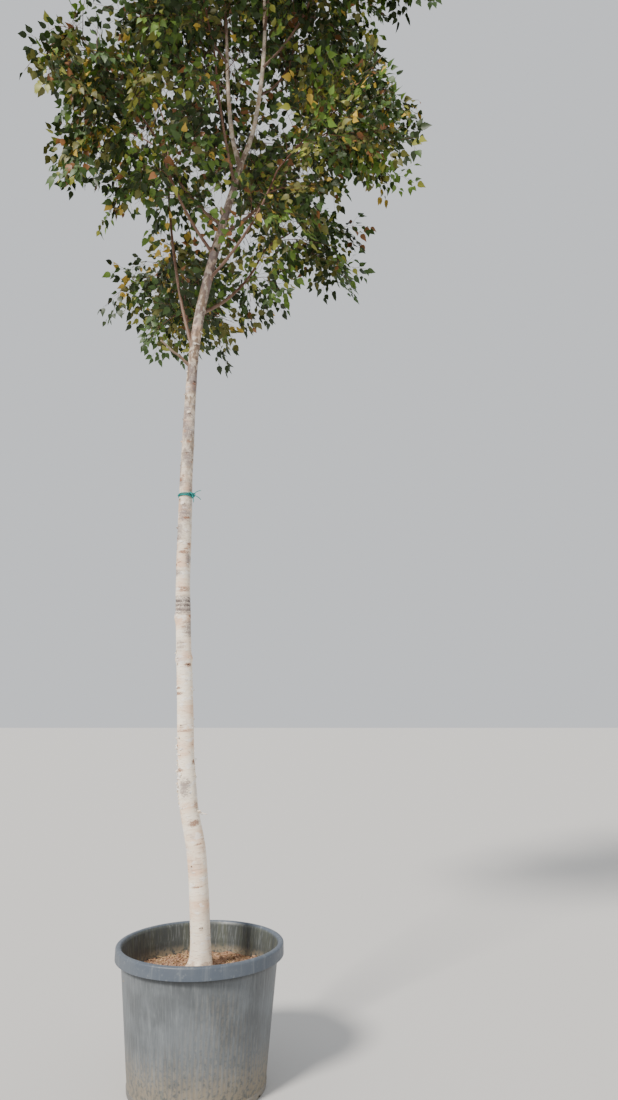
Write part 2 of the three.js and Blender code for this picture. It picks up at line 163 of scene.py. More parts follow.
def framesAlong(headings):
    # two cross directions at each ring, carried along without twist
    least = np.argmin(np.abs(headings[0])[::-1])
    axis = np.eye(3)[2 - least]
    normal = np.cross(headings[0], unit(np.cross(headings[0], axis)))
    normals = [normal]
    for before, now in zip(headings, headings[1:]):
        axis = np.cross(before, now)
        size = np.linalg.norm(axis)
        if size > 1e-9:
            normal = spun(normal, axis / size, math.degrees(math.asin(min(size, 1))))
        normal = unit(normal - now * np.dot(normal, now))
        normals.append(normal)
    normals = np.array(normals)
    return normals, np.cross(headings, normals)


def spokes(headings, sides):
    # the ways out from the middle of each ring of a tube
    normals, binormals = framesAlong(headings)
    turns = turnsOf(sides)[:, None]
    return normals[:, None] * np.cos(turns) + binormals[:, None] * np.sin(turns)


# meshes: faces are a pair of arrays, the size of each face and the corners of all

def listedFaces(faces):
    return np.array([len(f) for f in faces]), np.concatenate([np.asarray(f) for f in faces])


def tubeFaces(rings, sides):
    ring = np.arange(rings - 1)[:, None] * sides
    side = np.arange(sides)
    after = (side + 1) % sides
    quads = np.stack((ring + side, ring + after, ring + sides + after, ring + sides + side), -1)
    sizes = np.concatenate((np.full((rings - 1) * sides, 4), [sides, sides]))
    return sizes, np.concatenate((quads.ravel(), side[::-1], (rings - 1) * sides + side))


def makePiece(name, points, faces, finish, slot, nodes=(), values=None, flat=False):
    sizes, corners = faces
    mesh = bpy.data.meshes.new(name)
    mesh.vertices.add(len(points))
    mesh.vertices.foreach_set("co", np.asarray(points, np.float32).ravel())
    mesh.loops.add(len(corners))
    mesh.loops.foreach_set("vertex_index", corners.astype(np.int32))
    mesh.polygons.add(len(sizes))
    mesh.polygons.foreach_set("loop_start", np.concatenate(([0], np.cumsum(sizes)[:-1])).astype(np.int32))
    mesh.update(calc_edges=True)
    for key, data in (values or {}).items():
        kind, field = ("FLOAT_VECTOR", "vector") if np.ndim(data) == 2 else ("FLOAT", "value")
        kept = mesh.attributes.new(key, kind, "POINT")
        kept.data.foreach_set(field, np.asarray(data, np.float32).ravel())
    if not flat:
        mesh.shade_smooth()
    mesh.materials.append(finish)
    piece = addObject(name, mesh)
    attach(piece, "root")
    if nodes:
        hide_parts(*nodes)
    print(f"  {name}: {int((sizes - 2).sum())} triangles")
    return piece


class Heap:
    # gathers many small shapes into one mesh
    def __init__(self):
        self.points, self.sizes, self.corners, self.count = [], [], [], 0

    def add(self, points, faces):
        sizes, corners = faces
        self.points.append(points)
        self.sizes.append(sizes)
        self.corners.append(corners + self.count)
        self.count += len(points)

    def addTube(self, points, radii, sides):
        steps = np.gradient(points, axis=0)
        out = spokes(steps / np.linalg.norm(steps, axis=1)[:, None], sides)
        rings = points[:, None] + out * np.reshape(radii, (-1, 1, 1))
        self.add(rings.reshape(-1, 3), tubeFaces(len(points), sides))

    def shape(self):
        return np.vstack(self.points), (np.concatenate(self.sizes), np.concatenate(self.corners))

    def piece(self, name, finish, slot, nodes=(), flat=False):
        return makePiece(name, *self.shape(), finish, slot, nodes, flat=flat)


# shader nodes as expressions

def colour(code):
    parts = [(code >> shift & 255) / 255 for shift in (16, 8, 0)]
    return (*(p / 12.92 if p < 0.04045 else ((p + 0.055) / 1.055) ** 2.4 for p in parts), 1)


def coloursOf(codes):
    return {key: colour(code) for key, code in codes.items()}


class Field:
    # a socket that can be added to, multiplied and so on
    def __init__(self, finish, socket):
        self.finish, self.socket = finish, socket

    def math(self, operation, *values):
        return self.finish.node("ShaderNodeMath", {"operation": operation}, dict(enumerate(values)))

    def __add__(self, other):
        return self.math("ADD", self, other)

    def __sub__(self, other):
        return self.math("SUBTRACT", self, other)

    def __rsub__(self, other):
        return self.math("SUBTRACT", other, self)

    def __mul__(self, other):
        return self.math("MULTIPLY", self, other)

    __radd__ = __add__
    __rmul__ = __mul__

    def scaled(self, x, y, z):
        sockets = {0: self, 1: (x, y, z)}
        return self.finish.node("ShaderNodeVectorMath", {"operation": "MULTIPLY"}, sockets)

    def band(self, low, high, start=0.0, end=1.0):
        # start below low and end above high, smooth between them
        settings = {"interpolation_type": "SMOOTHSTEP", "clamp": True}
        return self.finish.node("ShaderNodeMapRange", settings, {0: self, 1: low, 2: high, 3: start, 4: end})


class Finish:
    # a material on its Principled shader
    def __init__(self, name, **sockets):
        self.material = bpy.data.materials.new(name)
        self.material.use_nodes = True
        self.tree = self.material.node_tree
        self.paint(**sockets)

    def put(self, node, sockets):
        for key, value in sockets.items():
            if isinstance(value, Field):
                self.tree.links.new(value.socket, node.inputs[key])
            else:
                node.inputs[key].default_value = value

    def node(self, kind, settings=None, sockets=None, output=0):
        made = self.tree.nodes.new(kind)
        for key, value in (settings or {}).items():
            setattr(made, key, value)
        self.put(made, sockets or {})
        return Field(self, made.outputs[output])

    def paint(self, **sockets):
        named = {key.replace("_", " "): value for key, value in sockets.items()}
        self.put(self.tree.nodes["Principled BSDF"], named)
        return self.material

    def mesh(self, name, output="Fac"):
        # a value or vector kept on the mesh's points
        return self.node("ShaderNodeAttribute", {"attribute_name": name}, output=output)

    def place(self):
        return self.node("ShaderNodeTexCoord", output="Object")

    def noise(self, vector, scale, detail=3.0, rough=0.55, tall=1):
        # a tall below 1 stretches the pattern upright, above 1 crosswise
        vector = vector if tall == 1 else vector.scaled(1, 1, tall)
        sockets = {"Vector": vector, "Scale": scale, "Detail": detail, "Roughness": rough}
        return self.node("ShaderNodeTexNoise", sockets=sockets)

    def layered(self, paint, *layers):
        # each layer is how much it covers, and its colour
        for share, over in layers:
            paint = self.node("ShaderNodeMix", {"data_type": "RGBA"}, {0: share, 6: paint, 7: over}, output=2)
        return paint

    def bump(self, height, distance):
        return self.node("ShaderNodeBump", sockets={"Height": height, "Distance": distance, "Strength": 1})


# bark: what each limb is coloured with, from its own place round and along the limb

# upper and mauve are the bark higher up, darker partly by its own greyer colour and partly by painted shade
# from the crown
whiteBark = {
    "cream": 0xFBEED9, "peach": 0xE9BE9B, "tan": 0xC9A27B, "papery": 0xFFFCF6, "lilac": 0xB5A8A6,
    "upper": 0x7C6857, "mauve": 0x6C5D59, "tip": 0x6B4838, "dash": 0x8F6E59, "shade": 0x7D6F6D,
    "ring": 0x5F5250, "scar": 0x8A5C42, "knot": 0x3D2C24, "soiled": 0x9C7A60,
}
# how each mark on the mesh is laid over the bark: from, to, and strength
barkMarks = {
    "shade": (0.1, 0.85, 0.8),
    "ring": (0.2, 0.65, 0.85),
    "scar": (0.15, 0.6, 0.85),
    "knot": (0.3, 0.65, 0.9),
    "soiled": (0.2, 1, 0.6),
}
youngBark = {"base": 0x5E3B2A, "light": 0x7F5944, "dark": 0x3D251A, "dot": 0xBB9D84, "grey": 0x827466}


def makeWhiteBark():
    look = coloursOf(whiteBark)
    finish = Finish("white_bark", Specular_IOR_Level=0.35)
    place = finish.mesh("barkPlace", "Vector")
    bands = finish.noise(place.scaled(0.4, 0.4, 1), 10, 5)
    patches = finish.noise(place, 19, 4, tall=0.7)
    streaks = finish.noise(place, 12, 4, tall=10)
    fine = finish.noise(place, 160, 4, tall=2.5)
    dash = finish.noise(place, 40, 2, 0.4, tall=10).band(0.64, 0.69)
    mottles = finish.noise(place, 44, 5, 0.6, tall=0.6)
    papery = finish.noise(place, 24, 4, 0.5, tall=2.2).band(0.6, 0.613)
    # the upper trunk's tone: its own greyer bark with painted crown shade in it
    upper = finish.layered(look["upper"], (patches.band(0.42, 0.6, 0, 0.8), look["mauve"]))
    upperToneAndShade = finish.mesh("upper") * bands.band(0.4, 0.62, 1.05, 0.7) * mottles.band(0.4, 0.58, 1.2, 0.5)
    ragged = fine.band(0.36, 0.64, 0.55, 1.35) * streaks.band(0.35, 0.65, 0.75, 1.2)
    marks = [((finish.mesh(mark) * ragged).band(low, high, 0, strength), look[mark])
             for mark, (low, high, strength) in barkMarks.items()]
    paint = finish.layered(
        look["cream"],
        (bands.band(0.46, 0.64, 0, 0.85), look["peach"]),
        (streaks.band(0.5, 0.74, 0, 0.36), look["tan"]),
        (papery * 0.55, look["papery"]),
        (patches.band(0.54, 0.72, 0, 0.45), look["lilac"]),
        (upperToneAndShade, upper),
        (finish.mesh("tip"), look["tip"]),
        (finish.mesh("flake") * 0.8, look["papery"]),
        (dash * 0.5, look["dash"]),
        *marks,
    )
    relief = finish.bump(fine * 0.35 - dash * 0.5 + papery * 0.6 + streaks * 0.5, 0.0006)
    return finish.paint(Base_Color=paint, Roughness=fine.band(0.3, 0.7, 0.5, 0.72), Normal=relief)


def makeYoungBark():
    look = coloursOf(youngBark)
    finish = Finish("young_bark", Specular_IOR_Level=0.4)
    place = finish.mesh("barkPlace", "Vector")
    patches = finish.noise(place, 40, 3, tall=0.5)
    rings = finish.noise(place, 55, 3, tall=6)
    dot = finish.noise(place, 260, 1, 0.3, tall=2.4).band(0.66, 0.72)
    paint = finish.layered(
        look["base"],
        (patches.band(0.4, 0.68), look["light"]),
        (rings.band(0.5, 0.75, 0, 0.6), look["dark"]),
        (finish.mesh("upper") * patches.band(0.35, 0.55, 0.3, 0.9), look["grey"]),
        (dot * 0.8, look["dot"]),
    )
    relief = finish.bump(rings * 0.6 + dot * 0.5, 0.0006)
    return finish.paint(Base_Color=paint, Roughness=patches.band(0.3, 0.7, 0.42, 0.62), Normal=relief)


# the limbs, as in the solids

trunk = {
    "stations": [
        (0.0, 0.0, 0.4053), (0.0, 0.0, 0.48), (-0.024, 0.004, 0.8), (-0.068, 0.01, 1.04),
        (-0.092, 0.016, 1.42), (-0.117, 0.018, 2.0), (-0.102, 0.006, 2.88), (-0.038, -0.004, 3.34),
        (0.094, 0.0, 3.894),
    ],
    "diameters": [0.08, 0.079, 0.076, 0.072, 0.065, 0.06, 0.047, 0.043, 0.029],
    "flare": 0.014,
    "flareHeight": 0.026,
    "rootLobes": 5,
    "lobeDepth": 0.16,
}
leaders = [
    {
        "name": "leader_right",
        "stations": [(0.158, 0.0, 4.122), (0.199, -0.008, 4.552), (0.186, -0.004, 5.1), (0.158, 0.014, 5.56),
                     (0.15, 0.02, 5.88)],
        "diameter": 0.022,
        "tipDiameter": 0.011,
        "rootLength": 0.04,
        "mass": {"side": 0.33, "height": 0.42, "ahead": 0, "above": 0.33},
    },
    {
        "name": "leader_left",
        "stations": [(0.05, 0.008, 4.068), (0.024, 0.018, 4.334), (0.006, 0.022, 4.7), (-0.034, 0.014, 5.12)],
        "diameter": 0.022,
        "tipDiameter": 0.012,
        "rootLength": 0.008,
        "mass": {"side": 0.33, "height": 0.38, "ahead": -0.06, "above": 0.26},
    },
]
boughValues = ("name", "parent", "height", "azimuth", "rise", "lift", "length", "diameter")
massValues = ("side", "height", "ahead", "above")


def bough(*values):
    return {**dict(zip(boughValues, values)), "mass": dict(zip(massValues, values[len(boughValues):]))}


# name, parent, height on it, azimuth, rise, lift, length, diameter, then its mass: side, height, ahead, above
boughs = [
    bough("bough_left_low", "trunk", 2.925, 150, 74, 12, 1.17, 0.016, 0.42, 0.42, 0.3, 0.37),
    bough("bough_left_mid", "trunk", 3.425, 214, 46, 22, 0.5, 0.015, 0.43, 0.42, 0.31, 0.06),
    bough("bough_left_high", "trunk", 3.575, 170, 44, 20, 0.48, 0.014, 0.43, 0.42, 0.35, 0.01),
    bough("bough_back_low", "trunk", 2.96, 108, 42, 20, 0.6, 0.017, 0.46, 0.44, 0.32, 0.11),
    bough("bough_right_back", "trunk", 3.13, 48, 40, 22, 0.62, 0.017, 0.46, 0.44, 0.33, 0.14),
    bough("bough_right_front", "trunk", 3.29, 340, 44, 20, 0.56, 0.015, 0.44, 0.43, 0.32, 0.08),
    bough("bough_right_high", "trunk", 3.52, 14, 42, 22, 0.56, 0.015, 0.44, 0.43, 0.31, 0.12),
    bough("bough_back_high", "trunk", 3.69, 88, 46, 22, 0.54, 0.014, 0.44, 0.43, 0.31, 0.14),
    bough("bough_front_high", "trunk", 3.79, 252, 52, 20, 0.52, 0.014, 0.43, 0.42, 0.3, 0.13),
    bough("bough_upper_back", "leader_right", 4.28, 52, 48, 22, 0.48, 0.013, 0.43, 0.43, 0.27, 0.13),
    bough("bough_upper_right", "leader_right", 4.43, 350, 46, 22, 0.46, 0.012, 0.42, 0.43, 0.26, 0.12),
    bough("bough_upper_left", "leader_left", 4.33, 136, 50, 22, 0.46, 0.012, 0.43, 0.43, 0.26, 0.15),
    bough("bough_upper_front", "leader_left", 4.48, 204, 50, 22, 0.44, 0.012, 0.42, 0.42, 0.25, 0.12),
    bough("bough_high_front", "leader_right", 4.64, 284, 48, 22, 0.42, 0.012, 0.41, 0.42, 0.24, 0.12),
]
snag = bough("dead_snag", "trunk", 2.872, 196, 38, 0, 0.185, 0.013)
boughShape = {"steps": 4, "tipDiameter": 0.009, "snagTipDiameter": 0.007}

# these masses spring straight from the right leader: height on it, azimuth, rise, and the mass
topMasses = {
    "foliage_top_back": (5.04, 84, 42, (0.4, 0.4, 0.33, 0.3)),
    "foliage_top_right": (5.24, 344, 42, (0.39, 0.4, 0.31, 0.3)),
    "foliage_top_front": (5.44, 226, 42, (0.38, 0.39, 0.28, 0.3)),
}

limbs = {}


def growTrunk():
    line = Line(trunk["stations"])
    shares = [line.shareAtHeight(station[2]) for station in trunk["stations"]]

    def radiusAt(share, angle=0.0):
        flare = np.exp(-share * line.length / trunk["flareHeight"])
        lobes = 1 + trunk["lobeDepth"] * flare * np.cos(trunk["rootLobes"] * angle)
        return (np.interp(share, shares, trunk["diameters"]) / 2 + trunk["flare"] * flare) * lobes

    limbs["trunk"] = (line, radiusAt)


def growLimb(name, line, diameter, tipDiameter):
    limbs[name] = (line, lambda share, angle=0.0: mix(diameter, tipDiameter, share) / 2 + 0 * angle)


def growLeaders():
    line, radiusAt = limbs["trunk"]
    top, heading = line.at(1), line.heading(1)
    for leader, offset in zip(leaders, (gap, -radiusAt(1))):
        path = Line([top + heading * offset, *leader["stations"]])
        growLimb(leader["name"], path, leader["diameter"], leader["tipDiameter"])


def growBough(spec, tipDiameter):
    line = limbs[spec["parent"]][0]
    steps = boughShape["steps"]
    points = [line.at(line.shareAtHeight(spec["height"]))]
    for i in range(steps):
        angle = spec["rise"] + spec["lift"] * i / (steps - 1)
        points.append(points[-1] + directionAt(spec["azimuth"], angle) * spec["length"] / steps)
    growLimb(spec["name"], Line(points), spec["diameter"], tipDiameter)


growTrunk()
growLeaders()
for spec in boughs:
    growBough(spec, boughShape["tipDiameter"])
growBough(snag, boughShape["snagTipDiameter"])
print("limbs grown:", len(limbs))


def limbSurface(name, sides, ringStep, rootLength=0.0, collar=0.0, tipLength=0.0, collarLength=0.025):
    # the rings of a limb: their centres, cross directions, distance along it, and share of the drawn line
    line, radiusAt = limbs[name]
    count = max(int((line.length + rootLength) / ringStep), 8)
    along = np.linspace(-rootLength, line.length + tipLength, count)
    shares = np.clip(along / line.length, 0, 1)
    centres = line.at(shares)
    centres += np.minimum(along, 0)[:, None] * line.heading(0)
    centres += np.maximum(along - line.length, 0)[:, None] * line.heading(1)
    outward = spokes(line.headings(shares), sides)
    radius = radiusAt(shares[:, None], turnsOf(sides))
    radius = radius + collar * np.exp(-np.maximum(along, 0) / collarLength)[:, None]
    azimuth = np.arctan2(outward[..., 1], outward[..., 0])
    place = np.stack((radius * np.cos(azimuth), radius * np.sin(azimuth), along[:, None] + 0 * azimuth), -1)
    return {"centres": centres, "outward": outward, "radius": radius, "azimuth": azimuth, "place": place,
            "along": along, "shares": shares, "height": centres[:, None, 2] + 0 * azimuth}


def makeLimb(name, surface, finish, slot, values):
    points = surface["centres"][:, None] + surface["outward"] * surface["radius"][..., None]
    values = {"barkPlace": surface["place"].reshape(-1, 3), **{k: v.ravel() for k, v in values.items()}}
    faces = tubeFaces(*surface["radius"].shape)
    makePiece(name + "_bark", points.reshape(-1, 3), faces, finish, slot, [name], values)


# trunk bark: marks that show in the photo, then others all round by seed
trunkBark = {
    "sides": 72,
    "ringStep": 0.0042,
    "rootLength": 0.012,
    "domed": 0.022,
    "lumpSize": 0.075,
    "lumpDepth": 0.0026,
    "rippleSize": 0.016,
    "rippleDepth": 0.0004,
    # height, azimuth, half width
    "knots": [
        (0.555, 285, 0.01), (1.555, 308, 0.009), (2.0, 222, 0.009), (2.09, 205, 0.008), (2.44, 335, 0.012),
        (2.47, 275, 0.008), (2.8, 315, 0.015),
    ],
    "moreKnots": (14, (0.6, 3.8), (0, 360), (0.005, 0.011)),
    # height, azimuth, half width, half height, strength
    "scars": [
        (0.7, 270, 0.024, 0.003, 0.8), (0.93, 300, 0.026, 0.013, 0.9), (1.0, 330, 0.022, 0.03, 0.5),
        (1.165, 345, 0.016, 0.01, 0.9), (1.29, 262, 0.045, 0.005, 0.65), (1.292, 300, 0.02, 0.004, 0.5),
        (1.44, 212, 0.028, 0.006, 1), (1.462, 208, 0.022, 0.005, 1), (1.555, 312, 0.02, 0.009, 0.9),
        (1.87, 285, 0.045, 0.016, 0.55), (2.03, 275, 0.026, 0.009, 0.7), (2.18, 300, 0.018, 0.006, 1),
        (2.35, 215, 0.014, 0.008, 0.9),
    ],
    "moreScars": (44, (0.5, 3.8), (0, 360), (0.008, 0.024), (0.003, 0.008), (0.35, 0.85)),
    "shades": [
        (1.07, 258, 0.022, 0.04, 1.1), (1.085, 280, 0.016, 0.03, 0.8), (1.64, 250, 0.03, 0.03, 0.6),
        (2.12, 225, 0.026, 0.05, 0.8), (2.3, 330, 0.02, 0.05, 0.7), (2.45, 290, 0.03, 0.05, 0.8),
        (2.56, 270, 0.03, 0.03, 0.9), (2.66, 240, 0.03, 0.05, 0.8),
    ],
    # these have a share of the way up in place of a height
    "moreShades": (52, (0, 1), (0, 360), (0.014, 0.04), (0.012, 0.045), (0.6, 1.2)),
    "shadesTop": 3.85,
    # height, azimuth, half width, rise
    "swellings": [(1.755, 195, 0.02, 0.006), (1.58, 190, 0.015, 0.005), (1.58, 5, 0.014, 0.005)],
    # height, half height, strength
    "rings": [(1.838, 0.0022, 0.8), (1.822, 0.0062, 1), (1.803, 0.0048, 0.85), (1.785, 0.0055, 0.8),
              (1.769, 0.003, 0.6)],
    "ringMiddle": 1.803,
    "ringZone": 0.042,
    "ringDepth": 0.0009,
    "ringTilt": 0.004,
    "soiledTop": 0.47,
    "upperFrom": 1.6,
    "upperTo": 3.0,
}


def awayFrom(surface, height, azimuth):
    # how far round and how far above a place on the limb each point is
    turn = (surface["azimuth"] - math.radians(azimuth) + math.pi) % (2 * math.pi) - math.pi
    return turn * surface["radius"], surface["height"] - height


def spotsOn(surface, marks):
    mask = 0 * surface["height"]
    for height, azimuth, width, tall, strength in marks:
        across, rise = awayFrom(surface, height, azimuth)
        mask = np.maximum(mask, strength * np.exp(-((across / width) ** 2) - (rise / tall) ** 2))
    return mask


def knotRelief(surface, knots):
    # a low rim round a sunk lens, dark inside and reddish below
    relief, dark, red = (0 * surface["height"] for _ in range(3))
    for height, azimuth, width in knots:
        across, rise = awayFrom(surface, height, azimuth)
        spot = (across / width) ** 2 + (rise / (0.45 * width)) ** 2
        relief += width * (0.15 * np.exp(-0.5 * spot) - 0.2 * np.exp(-3 * spot))
        dark = np.maximum(dark, np.exp(-1.5 * spot))
        below = (across / (1.3 * width)) ** 2 + ((rise + 0.5 * width) / width) ** 2
        red = np.maximum(red, 0.5 * np.exp(-below))
    return relief, dark, red


def makeTrunk(finish):
    look = trunkBark
    surface = limbSurface("trunk", look["sides"], look["ringStep"], look["rootLength"], 0, look["domed"])
    place, height = surface["place"], surface["height"]
    draw = seeded(41)
    # each bough leaves under a knot of its own
    knots = look["knots"] + [(spec["height"] + 0.02, spec["azimuth"], 0.95 * spec["diameter"])
                             for spec in [*boughs, snag] if spec["parent"] == "trunk"]
    knots += scattered(draw, *look["moreKnots"])
    scars = look["scars"] + scattered(draw, *look["moreScars"])
    shades = look["shades"] + [(mix(look["upperFrom"], look["shadesTop"], share**0.8), *rest)
                               for share, *rest in scattered(draw, *look["moreShades"])]
    relief, knot, red = knotRelief(surface, knots)
    edge = noiseAt(place, 0.03, 3) * 0.005 + look["ringTilt"] * np.cos(surface["azimuth"] + 1.2)
    broken = 0.95 + 0.6 * noiseAt(place, 0.022, 4)
    rings = 0 * height
    for at, half, strength in look["rings"]:
        rings = np.maximum(rings, strength * broken * np.exp(-(((height - at + edge) / half) ** 2)))
    relief += look["lumpDepth"] * noiseAt(place * (1, 1, 0.45), look["lumpSize"], 1)
    relief += look["rippleDepth"] * noiseAt(place * (1, 1, 2.4), look["rippleSize"], 2)
    ringZone = np.exp(-(((height - look["ringMiddle"]) / look["ringZone"]) ** 4))
    relief += look["ringDepth"] * (ringZone - 2 * rings)
    for at, azimuth, width, rise in look["swellings"]:
        relief += rise * spotsOn(surface, [(at, azimuth, width, width, 1)])
    beyond = np.maximum(surface["along"] - limbs["trunk"][0].length, 0)[:, None] / (1.01 * look["domed"])
    surface["radius"] = (surface["radius"] + relief) * np.sqrt(1 - beyond**2)
    values = {
        "knot": knot,
        "soiled": smooth(-height, -look["soiledTop"], -0.4) * (1 + noiseAt(place, 0.02, 5)),
        # darker bark higher up: partly its own greyer tone, partly painted shade of the crown, made deeper
        # from 2.8 m up
        "upper": smooth(height, look["upperFrom"], look["upperTo"]) * (1 + 0.35 * smooth(height, 2.8, 3.2)),
        "ring": rings,
        "shade": np.maximum(spotsOn(surface, shades), 0.85 * ringZone),
        "scar": np.maximum(red, spotsOn(surface, scars)),
    }
    makeLimb("trunk", surface, finish, "white_bark", values)


leaderBark = {"sides": 36, "ringStep": 0.006, "collar": 0.0015, "lumpDepth": 0.0011, "nodeEvery": 0.085,
              "nodeDepth": 0.0004, "knots": (10, (4.0, 5.2), (0, 360), (0.006, 0.009))}
boughBark = {"sides": 20, "ringStep": 0.007, "collar": 0.3, "lumpDepth": 0.1, "nodeEvery": 0.06,
             "nodeDepth": 0.0008}


def makeLeaders(finish):
    look = leaderBark
    for index, leader in enumerate(leaders):
        surface = limbSurface(leader["name"], look["sides"], look["ringStep"], leader["rootLength"],
                              look["collar"])
        lumps = noiseAt(surface["place"] * (1, 1, 0.4), 0.05, 11 + index)
        nodes = np.sin(surface["along"] * 2 * math.pi / look["nodeEvery"] + 3 * lumps.mean(axis=1))[:, None]
        relief, knot, red = knotRelief(surface, scattered(seeded(61 + index), *look["knots"]))
        bumps = look["lumpDepth"] * lumps + look["nodeDepth"] * np.maximum(nodes, 0) ** 4
        surface["radius"] = surface["radius"] + relief + bumps
        share = surface["shares"][:, None] + 0 * lumps
        # the same darker upper tone as the top of the trunk, partly painted crown shade, lightening over the
        # first 0.25 m
        upper = 1 - 0.4 * smooth(surface["along"], 0, 0.25)[:, None] + 0 * share
        values = {"knot": knot, "scar": red, "upper": upper, "tip": smooth(share, 0.3, 0.85)}
        makeLimb(leader["name"], surface, finish, "white_bark", values)


def makeBoughs(finish):
    look = boughBark
    for index, spec in enumerate([*boughs, snag]):
        dead = spec is snag
        collar = look["collar"] * spec["diameter"]
        surface = limbSurface(spec["name"], look["sides"], look["ringStep"], collar=collar)
        lumps = noiseAt(surface["place"] * (1, 1, 0.5), 0.03, 21 + index)
        phase = surface["along"] * 2 * math.pi / look["nodeEvery"] + 4 * lumps.mean(axis=1)
        nodes = (np.maximum(np.sin(phase), 0) ** 6)[:, None]
        surface["radius"] = surface["radius"] * (1 + look["lumpDepth"] * lumps) + look["nodeDepth"] * nodes
        if dead:
            surface["centres"] += noiseAt(surface["centres"], 0.05, 5)[:, None] * (0.004, 0.004, 0.006)
        share = surface["shares"][:, None] + 0 * surface["azimuth"]
        values = {"upper": 0.9 + 0 * share if dead else 0.5 - 0.5 * share}
        makeLimb(spec["name"], surface, finish, "young_bark", values)


# the growing rule: stems, twigs, sprays and leaves

goldenAngle = 137.5
stemRule = {"share": 1.75, "steps": 6, "droop": 0.1, "wander": 0.22}
twigRule = {"steps": 3, "droop": 0.3, "wander": 0.3}
# the rule's own twigs, as in the solids, then finer ones between those
twigRounds = [
    {"perStep": 1, "spread": 64, "turn": 0, "share": 1, "shorter": 0.35, "from": 1, "sizes": (1, 0.62)},
    {"perStep": 2, "spread": 56, "turn": 68, "share": 0.8, "shorter": 0.5, "from": 2, "sizes": (0.9, 0.5)},
]
sprayRule = {"perStep": 2, "length": 0.2, "width": 0.135, "smallest": 0.78, "widest": 0.36, "forward": 0.5,
             "hang": 0.5, "roll": 24, "level": 0.15}
clearOfNeighbour = 0.005
clearOfLimb = 0.007


def listMasses():
    rows = []
    for spec in [*boughs, *leaders]:
        line = limbs[spec["name"]][0]
        name = spec["name"].replace("bough", "foliage").replace("leader", "foliage_tip")
        start = line.at(1) + line.heading(1) * gap
        rows.append((name, start, line.heading(1), spec.get("azimuth", 0), spec["mass"], 0.6))
    for name, (height, azimuth, rise, values) in topMasses.items():
        line = limbs["leader_right"][0]
        start = line.at(line.shareAtHeight(height))
        rows.append((name, start, directionAt(azimuth, rise), azimuth, dict(zip(massValues, values)), 0))
    found = []
    for name, start, heading, azimuth, mass, outward in rows:
        centre = start + directionAt(azimuth, 0) * mass["ahead"] + up * mass["above"]
        found.append({"name": name, "start": start, "heading": heading, "centre": centre, "outward": outward,
                      **mass})
    return found


masses = listMasses()
centres = np.array([m["centre"] for m in masses])
probes = np.linspace(0, 1, 61)
probePoints = np.vstack([line.at(probes) for line, _ in limbs.values()])
probeRadii = np.concatenate([radiusAt(probes, 0 * probes) for _, radiusAt in limbs.values()])


def insideSpace(point, own):
    offset = point - own["centre"]
    flat = math.hypot(offset[0], offset[1]) / own["side"]
    if math.hypot(flat, offset[2] / own["height"]) > 1:
        return False
    across = centres - own["centre"]
    length = np.linalg.norm(across, axis=1)
    length[length == 0] = 1
    along = ((point - (centres + own["centre"]) / 2) * across).sum(axis=1) / length
    return bool(np.all((along < -clearOfNeighbour) | (np.abs(across).sum(axis=1) == 0)))


def clearOfLimbs(point):
    return bool(np.all(np.linalg.norm(probePoints - point, axis=1) > probeRadii + clearOfLimb))


def turned(direction, spread, turn):
    reference = np.array((1.0, 0, 0)) if abs(direction[2]) > 0.9 else up
    across = spun(unit(np.cross(direction, reference)), direction, turn)
    return spun(direction, across, spread)


def walk(start, heading, length, rule, draw, allowed):
    points, way = [start], heading
    for i in range(rule["steps"]):
        stray = np.array([draw() - 0.5, draw() - 0.5, draw() - 0.5])
        if i:
            way = unit(way + stray * rule["wander"] - up * rule["droop"])
        following = points[i] + way * length / rule["steps"]
        if i and not allowed(following):
            break
        points.append(following)
    return points


def placesAlong(points, perStep):
    # between the rings of a three-sided stem, with the three ways that its flat sides face
    line, steps = Line(points, 12), len(points) - 1
    normals, binormals = framesAlong(line.headings(np.linspace(0, 1, steps + 1)))
    turns = [math.radians(a) for a in (60, 180, 300)]
    places = []
    for index in range(steps * perStep):
        ring = index // perStep
        low, high = line.at(ring / steps), line.at((ring + 1) / steps)
        sides = [normals[ring] * math.cos(t) + binormals[ring] * math.sin(t) for t in turns]
        places.append((mix(low, high, (index % perStep + 0.5) / perStep), unit(high - low), sides))
    return places


def sprayAllowed(root, direction, face, size, own):
    middle = root + direction * sprayRule["widest"] * sprayRule["length"] * size
    tip = root + direction * sprayRule["length"] * size
    wing = unit(np.cross(direction, face)) * sprayRule["width"] * size / 2
    corners = [tip, middle + wing, middle - wing]
    halfway = [mix(c, middle, 0.5) for c in corners]
    return all(insideSpace(c, own) for c in [root, *corners]) and all(map(clearOfLimbs, corners + halfway))


def spraysOn(points, draw, own, sizeLimits):
    # the same places, draws and tests as the solids' leaves
    def firstFit(index, point, along, sides, hang, roll, size):
        for share in sizeLimits:
            for turn in range(3):
                direction = unit(along * sprayRule["forward"] + sides[(index + turn) % 3] - up * hang)
                face = spun(np.cross(along, direction), direction, roll) + up * sprayRule["level"]
                if sprayAllowed(point, direction, face, size * share, own):
                    return [(point, direction, face, size * share)]
        return []

    found = []
    for index, (point, along, sides) in enumerate(placesAlong(points, sprayRule["perStep"])):
        hang, roll = sprayRule["hang"] * draw(), mix(-sprayRule["roll"], sprayRule["roll"], draw())
        size = mix(sprayRule["smallest"], 1, draw())
        found += firstFit(index, point, along, sides, hang, roll, size)
    return found


